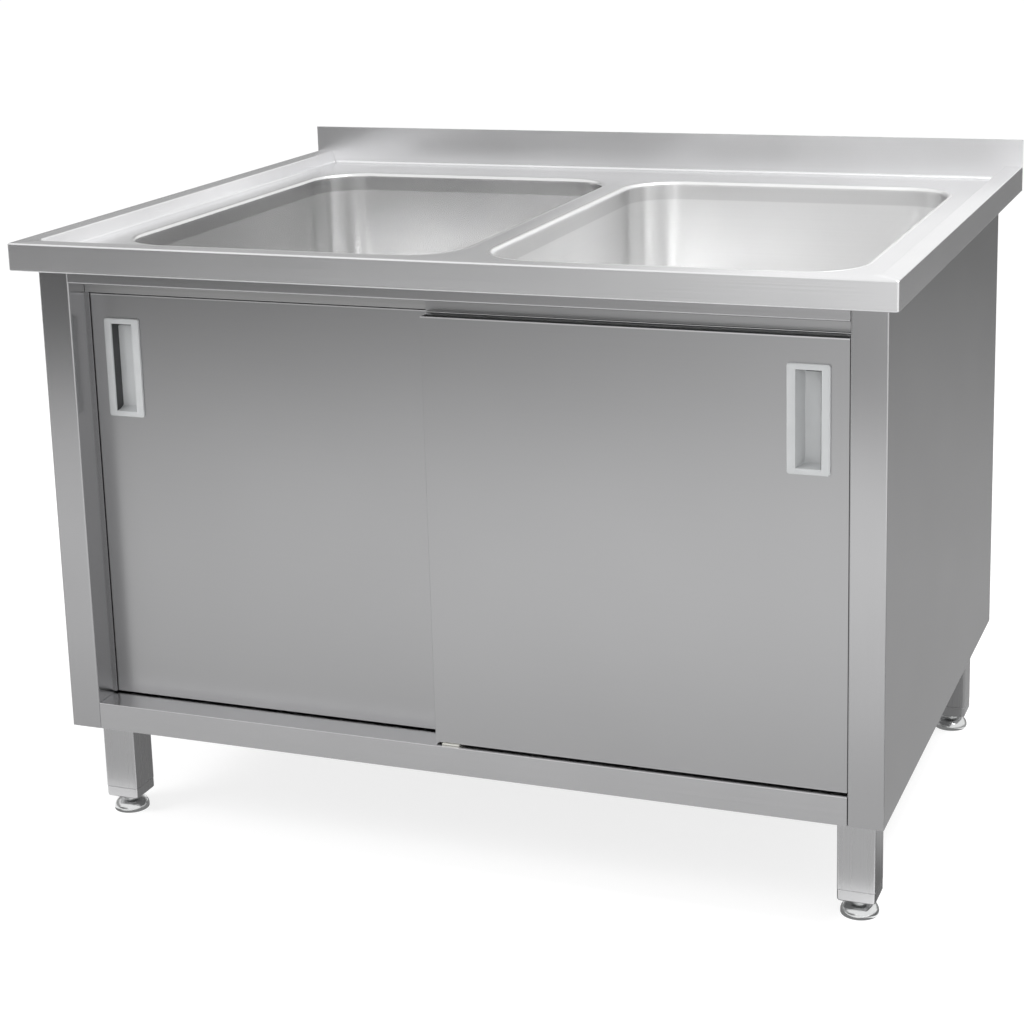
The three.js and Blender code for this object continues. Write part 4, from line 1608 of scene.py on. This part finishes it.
@dataclass(frozen=True)
class Card:
    """Flat grey card, square to the axes, from one corner to the opposite one, in metres.

    Its brightness is the product of one graded tone along each named axis, given as stops of
    (place in metres, tone), where 0 is black, 1 is the white of the surroundings and more than 1
    is brighter than they are. Only the metal's gloss sees a card: it lights nothing.
    """

    name: str
    low: tuple[float, float, float]
    high: tuple[float, float, float]
    tones: Mapping[str, Sequence[tuple[float, float]]]

    def corners(self) -> list[tuple[float, float, float]]:
        """Its four corners in turn: a floor card lies level, any other one stands up.

        Returns:
            Four places in metres.
        """
        (x0, y0, z0), (x1, y1, z1) = self.low, self.high
        if z0 == z1:
            return [(x0, y0, z0), (x1, y0, z0), (x1, y1, z0), (x0, y1, z0)]
        return [(x0, y0, z0), (x1, y1, z0), (x1, y1, z1), (x0, y0, z1)]


CARDS = (
    Card("front_card", (-9.0, -4.5, 0.0), (0.1, -4.5, 1.8),
         {"X": ((-9.0, 0.05), (-3.6, 0.08), (-2.4, 0.13), (-1.4, 0.22), (-0.6, 0.44), (0.1, 0.9)),
          "Z": ((0.0, 0.95), (0.12, 1.0), (0.25, 1.3), (1.2, 1.4), (1.8, 2.4))}),
    Card("far_floor_card", (-3.6, -4.5, 0.001), (1.8, -2.75, 0.001),
         {"X": ((-3.6, 0.04), (-2.4, 0.10), (-1.5, 0.17), (-0.4, 0.28), (1.8, 0.42)),
          "Y": ((-4.5, 0.9), (-3.4, 1.0), (-2.75, 2.2))}),
    Card("near_floor_card", (-3.6, -2.75, 0.001), (1.8, -0.48, 0.001),
         {"X": ((-3.6, 0.60), (-2.4, 0.70), (-1.6, 0.80), (-1.0, 0.94), (-0.4, 1.0), (1.8, 1.0)),
          "Y": ((-2.75, 1.05), (-2.4, 1.12), (-1.9, 1.08), (-1.2, 0.84), (-0.98, 0.72),
                (-0.7, 0.67), (-0.48, 0.62))}),
    Card("rear_card", (-7.0, 3.2, 0.85), (-0.5, 3.2, 3.0),
         {"X": ((-7.0, 0.25), (-3.3, 0.36), (-2.6, 0.38), (-1.3, 0.38), (-0.95, 0.65),
                (-0.5, 1.0))}),
    Card("left_wall_card", (-6.0, -3.5, 0.0), (-6.0, 7.0, 3.0), {"Y": ((-3.5, 0.4), (7.0, 0.4))}),
    Card("under_card", (-0.56, -0.40, 0.001), (0.56, 0.36, 0.001),
         {"X": ((-0.56, 0.25), (0.56, 0.25))}),
    Card("side_card", (0.565, -0.40, 0.001), (7.0, 12.0, 0.001),
         {"Y": ((-0.4, 0.18), (-0.25, 0.20), (-0.12, 0.48), (0.0, 0.44), (1.0, 0.45), (1.8, 0.40),
                (2.9, 0.31), (4.3, 0.22), (12.0, 0.20))}),
    Card("side_rear_card", (1.0, 7.0, 0.0), (7.0, 7.0, 1.6), {"X": ((1.0, 0.22), (7.0, 0.22))}),
)


@dataclass
class Studio:
    """Pale floor, white surroundings, soft lamps, grey cards and the camera."""

    camera_place: tuple[float, float, float] = (1.0874, -2.9326, 1.3323)
    camera_turn: tuple[float, float, float] = (76.920, 1.582, 21.016)
    lens: float = 77.20
    shift: tuple[float, float] = (-0.0029, -0.1400)
    ambient: float = 0.62
    floor_lit: float = 0.8
    floor_shown: float = 0.42
    floor_glow: float = 0.76

    @staticmethod
    def seen_directly(tree: bpy.types.NodeTree) -> bpy.types.NodeSocket:
        """Tells rays that show a surface from rays that light it.

        Args:
            tree: the material's or the world's node tree.

        Returns:
            1 for rays from the camera and for those through gloss or glass, otherwise 0.
        """
        path = add_node(tree, "ShaderNodeLightPath").outputs
        gloss = add_node(
            tree,
            "ShaderNodeMath",
            {"operation": "MAXIMUM"},
            {0: path["Is Glossy Ray"], 1: path["Is Transmission Ray"]},
        )
        both = add_node(
            tree,
            "ShaderNodeMath",
            {"operation": "MAXIMUM"},
            {0: path["Is Camera Ray"], 1: gloss.outputs[0]},
        )
        return both.outputs[0]

    def world(self) -> None:
        """White all round: strength 1 where it is seen, a little less where it lights."""
        world = bpy.data.worlds.new("white studio")
        world.use_nodes = True
        tree = world.node_tree
        tree.nodes.clear()
        strength = add_node(
            tree,
            "ShaderNodeMapRange",
            inputs={"Value": self.seen_directly(tree), "To Min": self.ambient, "To Max": 1.0},
        )
        shade = add_node(
            tree,
            "ShaderNodeBackground",
            inputs={"Color": (1.0, 1.0, 1.0, 1.0), "Strength": strength.outputs["Result"]},
        )
        add_node(tree, "ShaderNodeOutputWorld", inputs={"Surface": shade.outputs[0]})
        bpy.context.scene.world = world

    def floor(self) -> None:
        """Wide pale floor that keeps the object's shadow and fades into the white."""
        mesh = bpy.data.meshes.new("floor")
        reach = 60.0
        corners = [(-reach, -reach, 0), (reach, -reach, 0), (reach, reach, 0), (-reach, reach, 0)]
        mesh.from_pydata(corners, [], [(0, 1, 2, 3)])
        material, tree = empty_tree("matt white studio floor")
        lit = add_node(tree, "ShaderNodeBsdfDiffuse", inputs={"Color": (*[self.floor_lit] * 3, 1.0)})
        half = add_node(
            tree, "ShaderNodeBsdfDiffuse", inputs={"Color": (*[self.floor_shown] * 3, 1.0)}
        )
        glow = add_node(
            tree,
            "ShaderNodeEmission",
            inputs={"Color": (1.0, 1.0, 1.0, 1.0), "Strength": self.floor_glow},
        )
        shown = add_node(
            tree, "ShaderNodeAddShader", inputs={0: half.outputs[0], 1: glow.outputs[0]}
        )
        mixed = add_node(
            tree,
            "ShaderNodeMixShader",
            inputs={0: self.seen_directly(tree), 1: lit.outputs[0], 2: shown.outputs[0]},
        )
        add_node(tree, "ShaderNodeOutputMaterial", inputs={"Surface": mixed.outputs[0]})
        mesh.materials.append(material)
        self._stage("studio_floor", mesh)

    @staticmethod
    def _stage(name: str, mesh: bpy.types.Mesh) -> bpy.types.Object:
        """Adds a stage object that isn't part of the sink unit.

        Args:
            name: of the object.
            mesh: its mesh.

        Returns:
            The object.
        """
        obj = bpy.data.objects.new(name, mesh)
        bpy.context.scene.collection.objects.link(obj)
        obj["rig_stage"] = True
        return obj

    def card(self, card: Card) -> None:
        """Hangs a grey card that only the metal's gloss sees.

        Args:
            card: the card to hang.
        """
        mesh = bpy.data.meshes.new(card.name)
        mesh.from_pydata(card.corners(), [], [(0, 1, 2, 3)])
        material, tree = empty_tree(f"{card.name} felt")
        place = add_node(tree, "ShaderNodeTexCoord").outputs["Object"]
        parts = add_node(tree, "ShaderNodeSeparateXYZ", inputs={0: place})
        strength: Any = 1.0
        for axis, stops in card.tones.items():
            product = add_node(
                tree,
                "ShaderNodeMath",
                {"operation": "MULTIPLY"},
                {0: add_ramp(tree, parts.outputs[axis], stops), 1: strength},
            )
            strength = product.outputs[0]
        glow = add_node(
            tree,
            "ShaderNodeEmission",
            inputs={"Color": (1.0, 1.0, 1.0, 1.0), "Strength": strength},
        )
        add_node(tree, "ShaderNodeOutputMaterial", inputs={"Surface": glow.outputs[0]})
        mesh.materials.append(material)
        hung = self._stage(card.name, mesh)
        for ray in ("camera", "diffuse", "transmission", "shadow", "volume_scatter"):
            setattr(hung, f"visible_{ray}", False)

    def lamp(
        self,
        name: str,
        place: tuple[float, float, float],
        aim: tuple[float, float, float],
        size: tuple[float, float],
        energy: float,
        mirrored: bool = True,
    ) -> None:
        """Soft area lamp.

        Args:
            name: of the lamp.
            place: where it hangs, in metres.
            aim: the point it faces.
            size: of its panel in metres.
            energy: in watts.
            mirrored: whether the metal's gloss sees the lamp itself.
        """
        data = bpy.data.lights.new(name, "AREA")
        data.shape = "RECTANGLE"
        data.size, data.size_y = size
        data.energy = energy
        obj = bpy.data.objects.new(name, data)
        line = np.array(aim) - np.array(place)
        flat = math.hypot(line[0], line[1])
        obj.location = place
        obj.rotation_euler = (math.atan2(flat, -line[2]), 0.0, math.atan2(-line[0], line[1]))
        obj.visible_glossy = mirrored
        bpy.context.scene.collection.objects.link(obj)

    def camera(self) -> None:
        """The photograph's viewing angle."""
        data = bpy.data.cameras.new("camera")
        data.lens = self.lens
        data.sensor_width = 36.0
        data.shift_x, data.shift_y = self.shift
        data.clip_end = 200.0
        obj = bpy.data.objects.new("camera", data)
        obj.location = self.camera_place
        obj.rotation_euler = tuple(math.radians(angle) for angle in self.camera_turn)
        bpy.context.scene.collection.objects.link(obj)
        bpy.context.scene.camera = obj

    def build(self) -> None:
        """Sets up the studio."""
        bpy.context.scene.view_settings.view_transform = "Standard"
        self.world()
        self.floor()
        for card in CARDS:
            self.card(card)
        self.lamp("key_softbox", (-2.6, -2.4, 3.0), (0.0, -0.3, 0.5), (1.6, 1.6), 60.0, False)
        self.lamp("overhead_softbox", (1.3, 0.0, 2.9), (0.4, 0.0, 0.6), (2.0, 1.4), 70.0)
        self.camera()


def box_of(low: Any, high: Any) -> dict[str, list[float]]:
    return {"low": [float(v) for v in low], "high": [float(v) for v in high]}


def visual_box() -> dict[str, list[float]]:
    """Box of all shown meshes that belong to the object, with their modifiers.

    Returns:
        Its low and high corners in metres.
    """
    graph = bpy.context.evaluated_depsgraph_get()
    points = []
    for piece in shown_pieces():
        shown = piece.evaluated_get(graph)
        mesh = shown.to_mesh()
        place = np.zeros(len(mesh.vertices) * 3, np.float32)
        mesh.vertices.foreach_get("co", place)
        points.append(place.reshape(-1, 3))
        shown.to_mesh_clear()
    every = np.concatenate(points)
    return box_of(every.min(axis=0), every.max(axis=0))


def main() -> None:
    """Loads the frame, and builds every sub-assembly and the studio."""
    logging.basicConfig(level=logging.INFO, format="%(message)s")
    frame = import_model()
    shop = Workshop(frame)
    for assembly in (Worktop(shop), Carcase(shop), Doors(shop), Legs(shop), Studio()):
        assembly.build()
    bpy.context.view_layer.update()
    visual_box()


if __name__ == "__main__":
    main()
